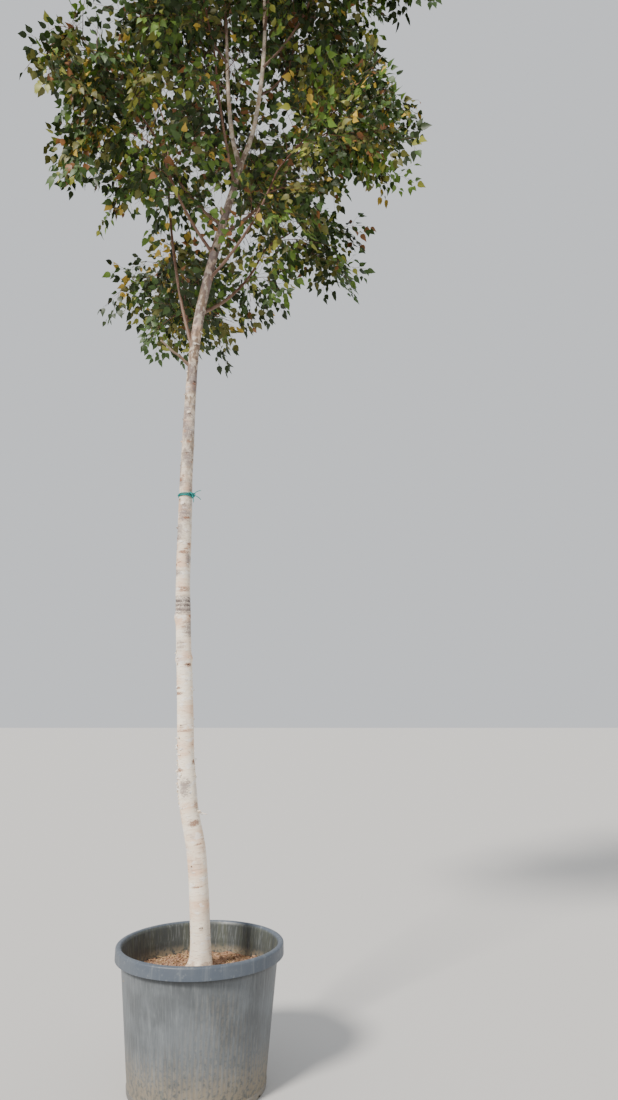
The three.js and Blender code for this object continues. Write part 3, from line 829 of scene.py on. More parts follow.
# true twigs and leaves, drawn on the rule's stems, twigs and sprays
twigLook = {
    # widths at the foot and the tip
    "stem": (0.0088, 0.0036),
    "twig": (0.004, 0.002),
    "arched": (0.006, 0.0026),
    "shoot": (0.0019, 0.0011),
    "sideShoot": (0.0014, 0.0009),
    "sideShoots": 3,
    "sideShare": 0.62,
    "sideSpread": 46,
    "shootShare": 0.92,
    "shootDroop": 0.16,
    "shootWander": 0.2,
    "leafGap": 0.027,
    "twigLeafGap": 0.075,
    "tipLeafGap": 0.03,
}
leafLook = {
    "length": 0.045,
    "smallest": 0.6,
    "largest": 1.15,
    "breadth": 0.76,
    "stalk": 0.013,
    "stalkWidth": 0.0011,
    "fold": 0.2,
    "droop": 0.22,
    # how far a leaf turns along its shoot, to the side, out of the spray's plane, and down
    "forward": 0.75,
    "sideways": (0.6, 1.0),
    "offPlane": 0.35,
    "hang": 0.75,
    "hangVaries": (0.3, 1.2),
    "endHang": 0.35,
    "tilt": 0.7,
    # how much each shape is folded and droops
    "shapes": [(1, 1), (1.8, 0.3), (0.4, 1.7)],
    # half outline as distance along and half width, toothed, and the midrib
    "outline": [(0, 0), (0.03, 0.15), (0.15, 0.4), (0.2, 0.37), (0.36, 0.46), (0.41, 0.39), (0.62, 0.3),
                (0.67, 0.22), (1, 0)],
    "midrib": [0, 0.17, 0.38, 0.64, 1],
    "splitHeight": 4.55,
}
# leaf tints with their share among the green leaves, and among those that have turned
# the third green tint is painted light: leaves made brighter as if the sun shone through them
greenTints = {"deep_green": (0x2B3919, 0.37), "mid_green": (0x3F5626, 0.32), "sunlit_green": (0x5F7A2E, 0.15),
              "olive": (0x62622E, 0.16)}
autumnTints = {"yellow_green": (0x8C8F3C, 0.52), "yellow": (0xB5993F, 0.26), "orange_brown": (0x835832, 0.22)}
turnedMost = 0.5
strayTint = 0.14  # share of leaves that differ from their spray

# the crown is bare close to the trunk and leaders, and open where the photo shows leaders or gaps
openings = {
    "bareCore": 0.17,
    "bareTop": 5.3,
    "notchFrom": 0.82,
    "notchDepth": 0.6,
    "notchSize": 0.19,
    "leaderTop": 4.72,
    "besideLeader": 0.03,
    "ragged": 2.2,
    "raggedSize": 0.011,
    # pixels across and down in the photo, and half width
    "gaps": [(257, 139, 10), (219, 197, 10), (194, 173, 8), (138, 137, 8), (134, 206, 8), (309, 173, 8),
             (295, 231, 9), (67, 18, 10), (283, 118, 7), (170, 92, 7), (232, 60, 7), (330, 205, 8)],
}


def seenFromCamera(points):
    # across and up per metre ahead, and metres ahead
    pitch = math.radians(photoView["pitch"])
    offset = points - np.array((photoView["right"], -photoView["away"], photoView["eye"]))
    ahead = offset[..., 1] * math.cos(pitch) + offset[..., 2] * math.sin(pitch)
    rise = offset[..., 2] * math.cos(pitch) - offset[..., 1] * math.sin(pitch)
    return np.stack((offset[..., 0] / ahead, rise / ahead), -1), ahead


coreShares = np.linspace(0, 1, 91)
trunkPoints = limbs["trunk"][0].at(coreShares)
leaderPoints = np.vstack([limbs[leader["name"]][0].at(coreShares) for leader in leaders])
corePoints = np.vstack((trunkPoints, leaderPoints))
leaderPlaces, leaderAhead = seenFromCamera(leaderPoints[leaderPoints[:, 2] < openings["leaderTop"]])
gapMarks = np.array(openings["gaps"], float)
photoMiddle = (photoView["width"] / 2, photoView["height"] / 2)
gapPlaces = (gapMarks[:, :2] - photoMiddle) * (1, -1) / photoView["focalPixels"]
gapSizes = gapMarks[:, 2] / photoView["focalPixels"]


def inBareCore(point):
    near = np.linalg.norm(corePoints - point, axis=1) < openings["bareCore"]
    return bool(point[2] < openings["bareTop"] and np.any(near))


def inNotch(point, own):
    # uneven bites out of the edge of a mass
    offset = (point - own["centre"]) / (own["side"], own["side"], own["height"])
    edge = openings["notchFrom"] + openings["notchDepth"] * noiseAt(point, openings["notchSize"], 41)
    return bool(np.linalg.norm(offset) > edge)


def inOpening(point):
    place, ahead = seenFromCamera(point)
    beside = np.linalg.norm(leaderPlaces - place, axis=1) * ahead < openings["besideLeader"]
    ragged = 1 + openings["ragged"] * noiseAt(np.array((*place, 0.5)), openings["raggedSize"], 42)
    inGap = np.linalg.norm(gapPlaces - place, axis=1) < gapSizes * ragged
    return bool(np.any(beside & (ahead < leaderAhead)) or np.any(inGap))


class Foliage:
    # gathers twigs by mass, and leaves by tint
    def __init__(self):
        self.leaves = {tint: [] for tint in (*greenTints, *autumnTints)}
        self.draw = seeded(77)

    def pick(self, tints):
        number, total = self.draw(), 0
        for tint, (_, share) in tints.items():
            total += share
            if number < total:
                break
        return tint

    def pickTint(self):
        # the green of a spray, its autumn tint, and how many of its leaves have turned
        return self.pick(greenTints), self.pick(autumnTints), turnedMost * self.draw() ** 3

    def stray(self, most):
        return np.array([self.draw(-most, most) for _ in range(3)])

    def addLeaf(self, root, way, face, tint):
        face = face + self.stray(leafLook["tilt"])
        size = self.draw(leafLook["smallest"], leafLook["largest"])
        if self.draw() < strayTint:
            tint = self.pickTint()
        green, autumn, turned = tint
        name = autumn if self.draw() < turned else green
        shape = math.floor(self.draw(0, len(leafLook["shapes"])))
        way = unit(way)
        if not inOpening(root + way * size * leafLook["length"] * 0.6):
            self.leaves[name].append((*root, *way, *face, size, shape))

    def leavesAlong(self, points, heading, face, tint, gapLength, first=0.6):
        # leaves alternate left and right of a shoot, hang on their stalks, and one ends it
        look, line = leafLook, Line(points, 6)
        side = unit(np.cross(heading, face))
        count = max(int(line.length / gapLength), 2)
        for k in range(count):
            share = min((k + first) / count, 1)
            hand = 1 if k % 2 else -1
            way = line.heading(share) * look["forward"] + side * hand * self.draw(*look["sideways"])
            way = way + face * self.draw(-look["offPlane"], look["offPlane"])
            way = way - up * look["hang"] * self.draw(*look["hangVaries"])
            self.addLeaf(line.at(share), way, face, tint)
        self.addLeaf(line.at(1), line.heading(1) - up * look["endHang"], face, tint)

    def spray(self, heap, root, direction, face, size):
        # a shoot with side shoots, all with leaves
        tint = self.pickTint()
        length = sprayRule["length"] * size * twigLook["shootShare"]
        face = unit(face - direction * np.dot(face, direction))
        main = self.shoot(heap, root, direction, length, twigLook["shoot"], 3)
        self.leavesAlong(main, direction, face, tint, twigLook["leafGap"])
        for k in range(twigLook["sideShoots"]):
            share = 0.12 + 0.24 * k
            hand = 1 if k % 2 else -1
            way = spun(direction, face, hand * twigLook["sideSpread"] * self.draw(0.8, 1.2))
            way = unit(way + face * self.draw(-0.25, 0.25))
            reach = length * twigLook["sideShare"] * (1 - 0.5 * share)
            side = self.shoot(heap, Line(main, 6).at(share), way, reach, twigLook["sideShoot"], 2)
            self.leavesAlong(side, way, face, tint, twigLook["leafGap"], first=0.75)

    def shoot(self, heap, root, way, length, widths, steps):
        points = [root]
        for _ in range(steps):
            way = unit(way + self.stray(0.5) * twigLook["shootWander"] - up * twigLook["shootDroop"])
            points.append(points[-1] + way * length / steps)
        points = np.array(points)
        heap.addTube(points, np.linspace(*widths, steps + 1) / 2, 3)
        return points

    def limb(self, heap, points, widths, sides=5, ringStep=0.03):
        line = Line(points, 12)
        shares = np.linspace(0, 1, max(int(line.length / ringStep), 4) + 1)
        heap.addTube(line.at(shares), mix(*widths, shares) / 2, sides)

    def leafyTwig(self, heap, points, draw, own, sizeLimits):
        self.limb(heap, points, twigLook["twig"])
        for root, direction, face, size in spraysOn(points, draw, own, sizeLimits):
            middle = root + direction * sprayRule["length"] * size / 2
            if not inBareCore(middle) and not inNotch(middle, own):
                self.spray(heap, root, direction, face, size)
        heading = unit(points[-1] - points[0])
        face = unit(np.cross(heading, np.cross(up + 0.1, heading)))
        self.leavesAlong(points, heading, face, self.pickTint(), twigLook["twigLeafGap"])


def growMass(foliage, own, index, finish):
    draw = seeded(index + 1)
    heap = Heap()

    def allowed(point):
        return insideSpace(point, own) and clearOfLimbs(point)

    outward = own["centre"] - own["start"]
    stemLength = stemRule["share"] * np.linalg.norm(outward)
    heading = unit(own["heading"] + unit(outward) * own["outward"])
    first = own["start"] + own["heading"] * stemLength / stemRule["steps"] / 2
    stem = [own["start"], *walk(first, heading, stemLength, stemRule, draw, allowed)]
    foliage.limb(heap, stem, twigLook["stem"], 8, 0.02)
    for rule, numbers in zip(twigRounds, (draw, seeded(index + 101))):
        places = placesAlong(stem, rule["perStep"])
        for place, (point, along, _) in enumerate(places):
            way = turned(along, rule["spread"], place * goldenAngle + rule["turn"])
            length = rule["share"] * own["side"] * (1 - rule["shorter"] * place / len(places))
            points = walk(point, way, length, twigRule, numbers, allowed)
            if place >= rule["from"] and len(points) > 2:
                foliage.leafyTwig(heap, points, numbers, own, rule["sizes"])
    tipWay = unit(stem[-1] - stem[-2])
    foliage.leavesAlong(stem[-2:], tipWay, turned(tipWay, 90, 30), foliage.pickTint(), twigLook["tipLeafGap"])
    heap.piece(own["name"].replace("foliage", "twigs"), finish, "young_bark", [own["name"]])


# leafy shoots and twigs straight on the limbs: limb, from and to on it, how many, and how long the twigs are
alongLimbs = {
    "shoots": [(spec["name"], 0.35, 0.98, 4) for spec in boughs]
              + [("leader_right", 0.2, 0.98, 16), ("leader_left", 0.2, 0.98, 9)],
    "twigs": [(spec["name"], 0.5, 0.96, 3, (0.16, 0.28)) for spec in boughs]
             + [("leader_right", 0.42, 0.86, 16, (0.2, 0.36)), ("leader_left", 0.5, 0.96, 7, (0.18, 0.3)),
                ("leader_right", 0.8, 1.0, 16, (0.24, 0.38))],
    # one thin twig arches out to the right under the fork, with sprays: share along it, and size
    "arched": [(0.02, -0.002, 3.598), (0.075, -0.02, 3.612), (0.15, -0.034, 3.617), (0.215, -0.042, 3.596),
               (0.262, -0.046, 3.562)],
    "archedSprays": [(0.62, 0.6), (0.8, 0.75), (1.0, 0.85)],
}


def growAlongLimbs(foliage, finish):
    # so that boughs and leaders are not bare between the masses
    heap, draw = Heap(), seeded(303)

    def placesOn(name, low, high, count, spread, turn=0):
        line, radiusAt = limbs[name]
        for k in range(count):
            share = mix(low, high, (k + draw(0.2, 0.8)) / count)
            way = turned(line.heading(share), draw(46, spread), turn + k * goldenAngle + 40 * draw())
            yield line.at(share), way, radiusAt(share)

    for row in alongLimbs["shoots"]:
        for point, way, radius in placesOn(*row, 66):
            face = turned(way, 90, draw(0, 360)) + up * 0.5
            foliage.spray(heap, point + way * radius * 0.5, unit(way - up * 0.15), face, draw(0.85, 1.35))
    for *row, lengths in alongLimbs["twigs"]:
        for point, way, _ in placesOn(*row, 62, 70):
            points = walk(point, way, draw(*lengths), twigRule, draw, lambda _: True)
            foliage.limb(heap, points, twigLook["twig"])
            for place, (start, along, sides) in list(enumerate(placesAlong(points, 2)))[1:]:
                way = unit(along * 0.6 + sides[place % 3] - up * draw(0, 0.5))
                face = np.cross(along, way) + up * sprayRule["level"]
                foliage.spray(heap, start, way, face, draw(0.6, 0.95))
    foliage.limb(heap, alongLimbs["arched"], twigLook["arched"], 6, 0.012)
    line = Line(alongLimbs["arched"])
    for share, size in alongLimbs["archedSprays"]:
        way = unit(line.heading(share) + up * (0.6 - share))
        foliage.spray(heap, line.at(share), way, up + way * 0.2, size)
    heap.piece("shoots_along_limbs", finish, "young_bark")


def leafShape(fold, droop):
    # the midrib is straight, and the blade is folded and droops
    length, stalk = leafLook["length"], leafLook["stalk"]
    points = []

    def addPoint(along, half, hand):
        across = half * hand * leafLook["breadth"]
        lift = abs(across) * leafLook["fold"] * fold - leafLook["droop"] * droop * along**2
        lift += 0.03 * math.sin(9 * along + hand) * half * 2
        points.append((across * length, stalk + along * length, lift * length))
        return len(points) - 1

    rib = [addPoint(t, 0, 1) for t in leafLook["midrib"]]
    faces = []
    for hand in (1, -1):
        rim = [rib[0], *(addPoint(t, w, hand) for t, w in leafLook["outline"][1:-1]), rib[-1]]
        for i in range(len(rib) - 1):
            face = list(dict.fromkeys([rib[i], *rim[2 * i:2 * i + 3], rib[i + 1]]))
            faces.append(face if hand < 0 else face[::-1])
    half, foot = leafLook["stalkWidth"] / 2, len(points)
    points.extend([(-half, 0, 0), (half, 0, 0), (half, stalk, 0.0004), (-half, stalk, 0.0004)])
    faces.append(range(foot, foot + 4))
    return np.array(points), listedFaces(faces)


def makeLeaves(foliage):
    shapes = [leafShape(*bend) for bend in leafLook["shapes"]]
    names = [m["name"] for m in masses]
    for tint, (code, _) in {**greenTints, **autumnTints}.items():
        finish = Finish("leaf_" + tint, Specular_IOR_Level=0.35, Base_Color=colour(code), Roughness=0.5)
        rows = np.array(foliage.leaves[tint])
        high = rows[:, 2] >= leafLook["splitHeight"]
        for level, part in (("lower", rows[~high]), ("upper", rows[high])):
            heap = Heap()
            for kind, (points, (sizes, corners)) in enumerate(shapes):
                some = part[part[:, 10] == kind]
                along = some[:, 3:6]
                across = np.cross(along, some[:, 6:9])
                across /= np.linalg.norm(across, axis=1)[:, None]
                axes = np.stack((across, along, np.cross(across, along)), 1)
                placed = some[:, None, :3] + np.einsum("kj,nji->nki", points, axes) * some[:, None, 9:10]
                starts = np.arange(len(some))[:, None] * len(points)
                heap.add(placed.reshape(-1, 3), (np.tile(sizes, len(some)), (corners + starts).ravel()))
            heap.piece(f"leaves_{tint}_{level}", finish.material, "leaf", names, flat=True)


# the pot: its wall as a profile with rounded corners, turned round the upright axis
pot = {
    "height": 0.5,
    "footRadius": 0.258,
    "shoulderRadius": 0.3,
    "rimRadius": 0.32,
    "rimDepth": 0.046,
    "wall": 0.005,
    "floor": 0.008,
    "footRing": 0.004,
    "sides": 288,
    "ribs": 96,
    "ribDepth": 0.0005,
    "footBand": 0.024,
    "footStep": 0.0025,
    "innerRings": [0.43, 0.452, 0.47],
    "innerRing": 0.0035,
    "innerRingDepth": 0.0011,
    "wobble": 0.0016,
    "notches": {"count": 10, "first": 13, "width": 0.024, "height": 0.012, "depth": 0.0035},
}
rimFoot = pot["height"] - pot["rimDepth"]
underRim = pot["height"] - 2.4 * pot["wall"]
potSlope = (pot["shoulderRadius"] - pot["footRadius"]) / underRim


def roundedProfile(corners, step=0.009):
    # each corner is (radius, height, rounding), and long stretches get points for the ribs and rings
    points = []
    for i, (r, z, rounding) in enumerate(corners):
        here = np.array((r, z))
        if rounding:
            before, after = (here + unit(np.array(corners[j][:2]) - here) * rounding for j in (i - 1, i + 1))
            for t in np.linspace(0, 1, 5):
                points.append((1 - t) ** 2 * before + 2 * t * (1 - t) * here + t * t * after)
        else:
            points.append(here)
    dense = [points[0]]
    for a, b in zip(points, points[1:]):
        pieces = max(int(np.linalg.norm(b - a) / step), 1)
        dense.extend(mix(a, b, (k + 1) / pieces) for k in range(pieces))
    return np.array(dense)


def makePot(finish):
    foot, shoulder, rim = pot["footRadius"], pot["shoulderRadius"], pot["rimRadius"]
    wall, top, ring = pot["wall"], pot["height"], pot["footRing"]
    inner, bandTop = shoulder - wall, foot + potSlope * pot["footBand"]
    profile = roundedProfile([
        (0.0005, ring, 0), (0.2, ring, 0.002), (0.206, 0, 0.002), (foot, 0, 0.006),
        (bandTop, pot["footBand"], 0.001), (bandTop - pot["footStep"], pot["footBand"] + 0.003, 0.001),
        (shoulder, underRim, 0.002), (rim - wall, underRim, 0.001), (rim - wall, rimFoot, 0.0015),
        (rim, rimFoot, 0.0015), (rim - 0.001, top - 0.004, 0.004), (rim - 0.008, top, 0.004),
        (inner + 0.006, top, 0.005), (inner, top - 0.012, 0.004), (foot - wall, pot["floor"], 0.004),
        (0.0005, pot["floor"], 0),
    ])
    radius, height = profile[:, 0], profile[:, 1]
    turns = turnsOf(pot["sides"])
    middle = foot + potSlope * height - wall / 2
    onSide = (height > pot["footBand"] + 0.006) & (height < underRim - 0.004) & (radius > 0.2)
    outerSide = onSide & (radius > middle) & (radius < middle + 0.012)
    innerSide = (radius < middle) & (height > pot["floor"] + 0.02) & (height < top - 0.014)
    rib = np.where(outerSide, pot["ribDepth"], 0)[:, None] * np.cos(pot["ribs"] * turns)
    rings = sum(np.exp(-(((height - at) / pot["innerRing"]) ** 2)) for at in pot["innerRings"])
    radial = radius[:, None] + rib - np.where(innerSide, rings * pot["innerRingDepth"], 0)[:, None]
    # the wall is slightly out of round, more so at the rim
    wobble = np.sin(2 * turns + 0.7) + 0.5 * np.sin(3 * turns + 2.1)
    radial = radial + pot["wobble"] * wobble * (smooth(height, 0.1, 0.5) * (radius > 0.2))[:, None] * 0.6
    radial = np.minimum(radial, rim + 0.0015)
    points = np.stack((radial * np.cos(turns), radial * np.sin(turns), height[:, None] + 0 * radial), -1)
    faces = tubeFaces(*radial.shape)
    cutDrainNotches(makePiece("pot_shell", points.reshape(-1, 3), faces, finish, "pot_plastic", ["pot"]))


def cutDrainNotches(piece):
    look, cutter = pot["notches"], Heap()
    faces = listedFaces([(3, 2, 1, 0), (4, 5, 6, 7), (0, 1, 5, 4), (1, 2, 6, 5), (2, 3, 7, 6), (3, 0, 4, 7)])
    for k in range(look["count"]):
        out = directionAt(look["first"] + 360 * k / look["count"], 0)
        side = np.array((-out[1], out[0], 0)) * look["width"] / 2
        corners = []
        for reach in (pot["footRadius"] - look["depth"], pot["footRadius"] + 0.02):
            low, high = out * reach - up * 0.01, out * reach + up * look["height"]
            corners += [low - side, low + side, high + side * 0.8, high - side * 0.8]
        cutter.add(np.array(corners), faces)
    box = cutter.piece("notch_cutter", piece.data.materials[0], "pot_plastic", flat=True)
    cut = piece.modifiers.new("drain notches", "BOOLEAN")
    cut.operation, cut.solver, cut.object = "DIFFERENCE", "EXACT", box
    mesh = bpy.data.meshes.new_from_object(piece.evaluated_get(bpy.context.evaluated_depsgraph_get()))
    piece.modifiers.clear()
    piece.data = mesh
    bpy.data.objects.remove(box)
    mesh.shade_smooth()
    mesh.set_sharp_from_angle(angle=math.radians(40))


# dark serves both the dark runs on the wall and the painted shade under the rim band
potLook = {"grey": 0x54585B, "faded": 0x686D71, "rim": 0x4D5560, "dust": 0x94866F, "streak": 0x8B9092,
           "inside": 0x454948, "moss": 0x5E6252, "dark": 0x26292C}


def makePotFinish():
    look = coloursOf(potLook)
    finish = Finish("pot_plastic", Specular_IOR_Level=0.45)
    place = finish.place()
    clouds = finish.noise(place, 6, 4)
    streaks = finish.noise(place, 60, 4, 0.6, tall=0.05)
    runs = finish.noise(place, 210, 3, 0.5, tall=0.035)
    grain = finish.noise(place, 240, 3)
    specks = finish.noise(place, 75, 3, 0.6)
    height = finish.node("ShaderNodeSeparateXYZ", sockets={0: place}, output=2)
    across = {0: place.scaled(1, 1, 0)}
    radius = finish.node("ShaderNodeVectorMath", {"operation": "LENGTH"}, across, output=1)
    middle = pot["footRadius"] - pot["wall"] / 2
    outside = (radius - height * potSlope).band(middle - 0.001, middle + 0.001)
    splash = height.band(0.01, 0.19, 1, 0) * specks.band(0.35, 0.62, 0.6, 1) * clouds.band(0.35, 0.6, 0.45, 1)
    wall = finish.layered(
        look["grey"],
        (clouds.band(0.35, 0.65), look["faded"]),
        (streaks.band(0.5, 0.72, 0, 0.24), look["streak"]),
        (runs.band(0.55, 0.68, 0, 0.18), look["streak"]),
        (runs.band(0.46, 0.34, 0, 0.15), look["dark"]),
        (splash * 0.58, look["dust"]),
        # painted shade: a dark line on the wall just under the rim band, where the band shades it
        (height.band(rimFoot - 0.022, rimFoot - 0.004) * 0.7, look["dark"]),
    )
    band = finish.layered(
        look["rim"],
        (clouds.band(0.4, 0.65, 0, 0.35), look["faded"]),
        (specks.band(0.56, 0.72, 0, 0.25), look["streak"]),
        (streaks.band(0.52, 0.7, 0, 0.2), look["streak"]),
    )
    outer = finish.layered(wall, (height.band(rimFoot - 0.001, rimFoot), band))
    paint = finish.layered(
        look["inside"],
        (streaks.band(0.42, 0.66, 0, 0.4), look["moss"]),
        (runs.band(0.52, 0.68, 0, 0.3), look["streak"]),
        (height.band(0.42, 0.385, 0, 0.7) * specks.band(0.35, 0.55), look["dust"]),
        (outside, outer),
    )
    roughness = clouds.band(0.3, 0.7, 0.4, 0.56) + splash * 0.3
    relief = finish.bump(grain * 0.5 + streaks * 0.3 + runs * 0.2, 0.0004)
    return finish.paint(Base_Color=paint, Roughness=roughness, Normal=relief)


# the soil: an uneven top, loose crumbs and bits of bark and straw
soil = {
    "topAtTrunk": 0.405,
    "topAtWall": 0.386,
    "flatRadius": 0.095,
    "rings": 84,
    "sides": 220,
    "clearOfWall": 0.0008,
    "unevenSize": 0.05,
    "unevenDepth": 0.009,
    "grainSize": 0.011,
    "grainDepth": 0.004,
    "crumbs": 3600,
    "crumbSmallest": 0.0014,
    "crumbGrowth": 0.0095,
    "bits": 460,
    "strawShare": 0.45,
    "strawLength": (0.018, 0.06),
    "strawWidth": 0.0008,
    "barkLength": (0.006, 0.018),
    "barkWidth": (0.0009, 0.0022),
}


def soilTop(x, y):
    distance = np.hypot(x, y)
    top = mix(soil["topAtTrunk"], soil["topAtWall"], smooth(distance, soil["flatRadius"], 0.28))
    flat = np.stack((x, y, 0 * x), -1)
    uneven = noiseAt(flat, soil["unevenSize"], 31) * soil["unevenDepth"]
    grain = noiseAt(flat, soil["grainSize"], 32) * soil["grainDepth"]
    return top - 0.004 + uneven + grain * smooth(distance, 0.03, 0.06)


def roundBall():
    # twenty triangles
    golden = (1 + 5**0.5) / 2
    corners = [(-1, golden, 0), (1, golden, 0), (-1, -golden, 0), (1, -golden, 0), (0, -1, golden),
               (0, 1, golden), (0, -1, -golden), (0, 1, -golden), (golden, 0, -1), (golden, 0, 1),
               (-golden, 0, -1), (-golden, 0, 1)]
    faces = [(0, 11, 5), (0, 5, 1), (0, 1, 7), (0, 7, 10), (0, 10, 11), (1, 5, 9), (5, 11, 4),
             (11, 10, 2), (10, 7, 6), (7, 1, 8), (3, 9, 4), (3, 4, 2), (3, 2, 6), (3, 6, 8), (3, 8, 9),
             (4, 9, 5), (2, 4, 11), (6, 2, 10), (8, 6, 7), (9, 8, 1)]
    return np.array(corners) / math.hypot(1, golden), listedFaces(faces)


def makeSoil(finish, crumbFinish, bitFinish):
    foot = pot["footRadius"] - pot["wall"] - soil["clearOfWall"]
    edge = foot + (pot["shoulderRadius"] - pot["footRadius"]) / pot["height"] * soil["topAtWall"]
    radii = np.concatenate(([0.001], np.linspace(0.01, edge, soil["rings"])))
    turns = turnsOf(soil["sides"])
    x, y = radii[:, None] * np.cos(turns), radii[:, None] * np.sin(turns)
    top = np.stack((x, y, soilTop(x, y)), -1)
    bottom = np.stack((foot * np.cos(turns), foot * np.sin(turns), 0 * turns + pot["floor"] + gap), -1)
    faces = tubeFaces(len(radii) + 1, soil["sides"])
    makePiece("soil_bed", np.concatenate((top.reshape(-1, 3), bottom)), faces, finish, "soil", ["soil"])

    draw = seeded(505)
    ball, ballFaces = roundBall()
    trunkFoot = trunk["diameters"][0] / 2 + trunk["flare"] * (1 + trunk["lobeDepth"])

    def spotWithin(reach, nearest):
        distance, turn = reach * math.sqrt(draw(nearest, 1)), draw(0, 2 * math.pi)
        return distance, np.array((distance * math.cos(turn), distance * math.sin(turn)))

    def onTop(spot, lift):
        return np.array((*spot, float(soilTop(spot[:1], spot[1:])[0]) + lift))

    crumbs, bits = Heap(), Heap()
    for _ in range(soil["crumbs"]):
        distance, spot = spotWithin(edge - 0.008, 0.015)
        size = soil["crumbSmallest"] + soil["crumbGrowth"] * draw() ** 7
        if distance >= trunkFoot + size:
            stretch = np.array([draw(0.6, 1.5), draw(0.6, 1.5), draw(0.5, 1)])
            shape = ball * stretch * size * np.array([[draw(0.45, 1.3)] for _ in ball])
            crumbs.add(shape + onTop(spot, size * 0.2), ballFaces)
    crumbs.piece("soil_crumbs", crumbFinish, "soil", ["soil"], flat=True)
    for _ in range(soil["bits"]):
        distance, spot = spotWithin(edge - 0.03, 0.05)
        if distance >= trunkFoot + 0.01:
            straw = draw() < soil["strawShare"]
            length = draw(*soil["strawLength" if straw else "barkLength"])
            width = soil["strawWidth"] if straw else draw(*soil["barkWidth"])
            way = directionAt(draw(0, 360), draw(-4, 14))
            base = onTop(spot, 0.003)
            middle = base + way * length / 2 + up * length * draw(0, 0.08)
            spine = np.array((base, middle, base + way * length))
            bits.addTube(spine, np.array((0.7, 1, 0.6)) * width, 4 if straw else 3)
    bits.piece("soil_bits", bitFinish, "soil", flat=True)


soilLook = {"brown": 0x84634C, "red": 0x966E56, "pale": 0xC2A68A, "dark": 0x4E382B, "bark": 0x8A6B4A,
            "straw": 0xC2A577}


def makeSoilFinish(name, lift):
    look = coloursOf(soilLook)
    finish = Finish(name, Specular_IOR_Level=0.2)
    clouds = finish.noise(finish.place(), 9, 4)
    grain = finish.noise(finish.place(), 110, 4, 0.7)
    paint = finish.layered(
        look["brown"],
        (clouds.band(0.35, 0.65), look["red"]),
        (grain.band(0.42 - lift, 0.72, 0, 0.8), look["pale"]),
        (grain.band(0.28, 0.42, 0.75, 0), look["dark"]),
    )
    return finish.paint(Base_Color=paint, Roughness=0.95, Normal=finish.bump(grain, 0.003))


def makeBitFinish():
    look = coloursOf(soilLook)
    finish = Finish("straw_and_bark_bits", Specular_IOR_Level=0.3, Roughness=0.8)
    shades = finish.noise(finish.place(), 30, 2)
    return finish.paint(Base_Color=finish.layered(look["bark"], (shades.band(0.4, 0.6), look["straw"])))


# papery curls of bark that stand off the trunk: how many, heights, azimuths, how wide, and how far they curl
flakes = {
    "thick": 0.0004,
    "across": 7,
    "tall": 4,
    "groups": [
        (50, (0.5, 3.2), (0, 360), (0.008, 0.022), (0.1, 0.45)),
        (44, (0.99, 1.27), (158, 222), (0.009, 0.022), (0.2, 0.5)),
        (9, (1.36, 1.62), (160, 215), (0.008, 0.018), (0.2, 0.5)),
        (14, (1.1, 1.62), (-30, 30), (0.008, 0.018), (0.2, 0.5)),
    ],
}
# broken stubs and splinters: height, azimuth, rise, length, widths
stubs = [
    (0.984, 352, -12, 0.04, (0.008, 0.0018)), (0.99, 2, -26, 0.024, (0.006, 0.0015)),
    (0.974, 343, 6, 0.012, (0.01, 0.004)), (3.615, 248, 40, 0.034, (0.014, 0.009)),
    (2.51, 192, 30, 0.01, (0.01, 0.006)), (1.35, 95, 25, 0.012, (0.01, 0.006)),
    (2.2, 62, 35, 0.014, (0.01, 0.006)), (3.18, 285, 45, 0.016, (0.009, 0.006)),
]


def flakeFaces(hand):
    # two sheets of quads, and the rim that joins them
    across, tall = flakes["across"], flakes["tall"]
    count = across * tall
    faces = []
    for i in range(across - 1):
        for a in range(i * tall, i * tall + tall - 1):
            b = a + tall
            quad = [a, a + 1, b + 1, b] if hand > 0 else [a, b, b + 1, a + 1]
            faces += [quad, [count + k for k in quad[::-1]]]
    rim = [*range(tall), *(i * tall + tall - 1 for i in range(1, across)),
           *(count - 2 - j for j in range(tall - 1)), *(i * tall for i in range(across - 2, 0, -1))]
    faces += [[a, b, count + b, count + a][::-hand] for a, b in zip(rim, rim[1:] + rim[:1])]
    return listedFaces(faces)


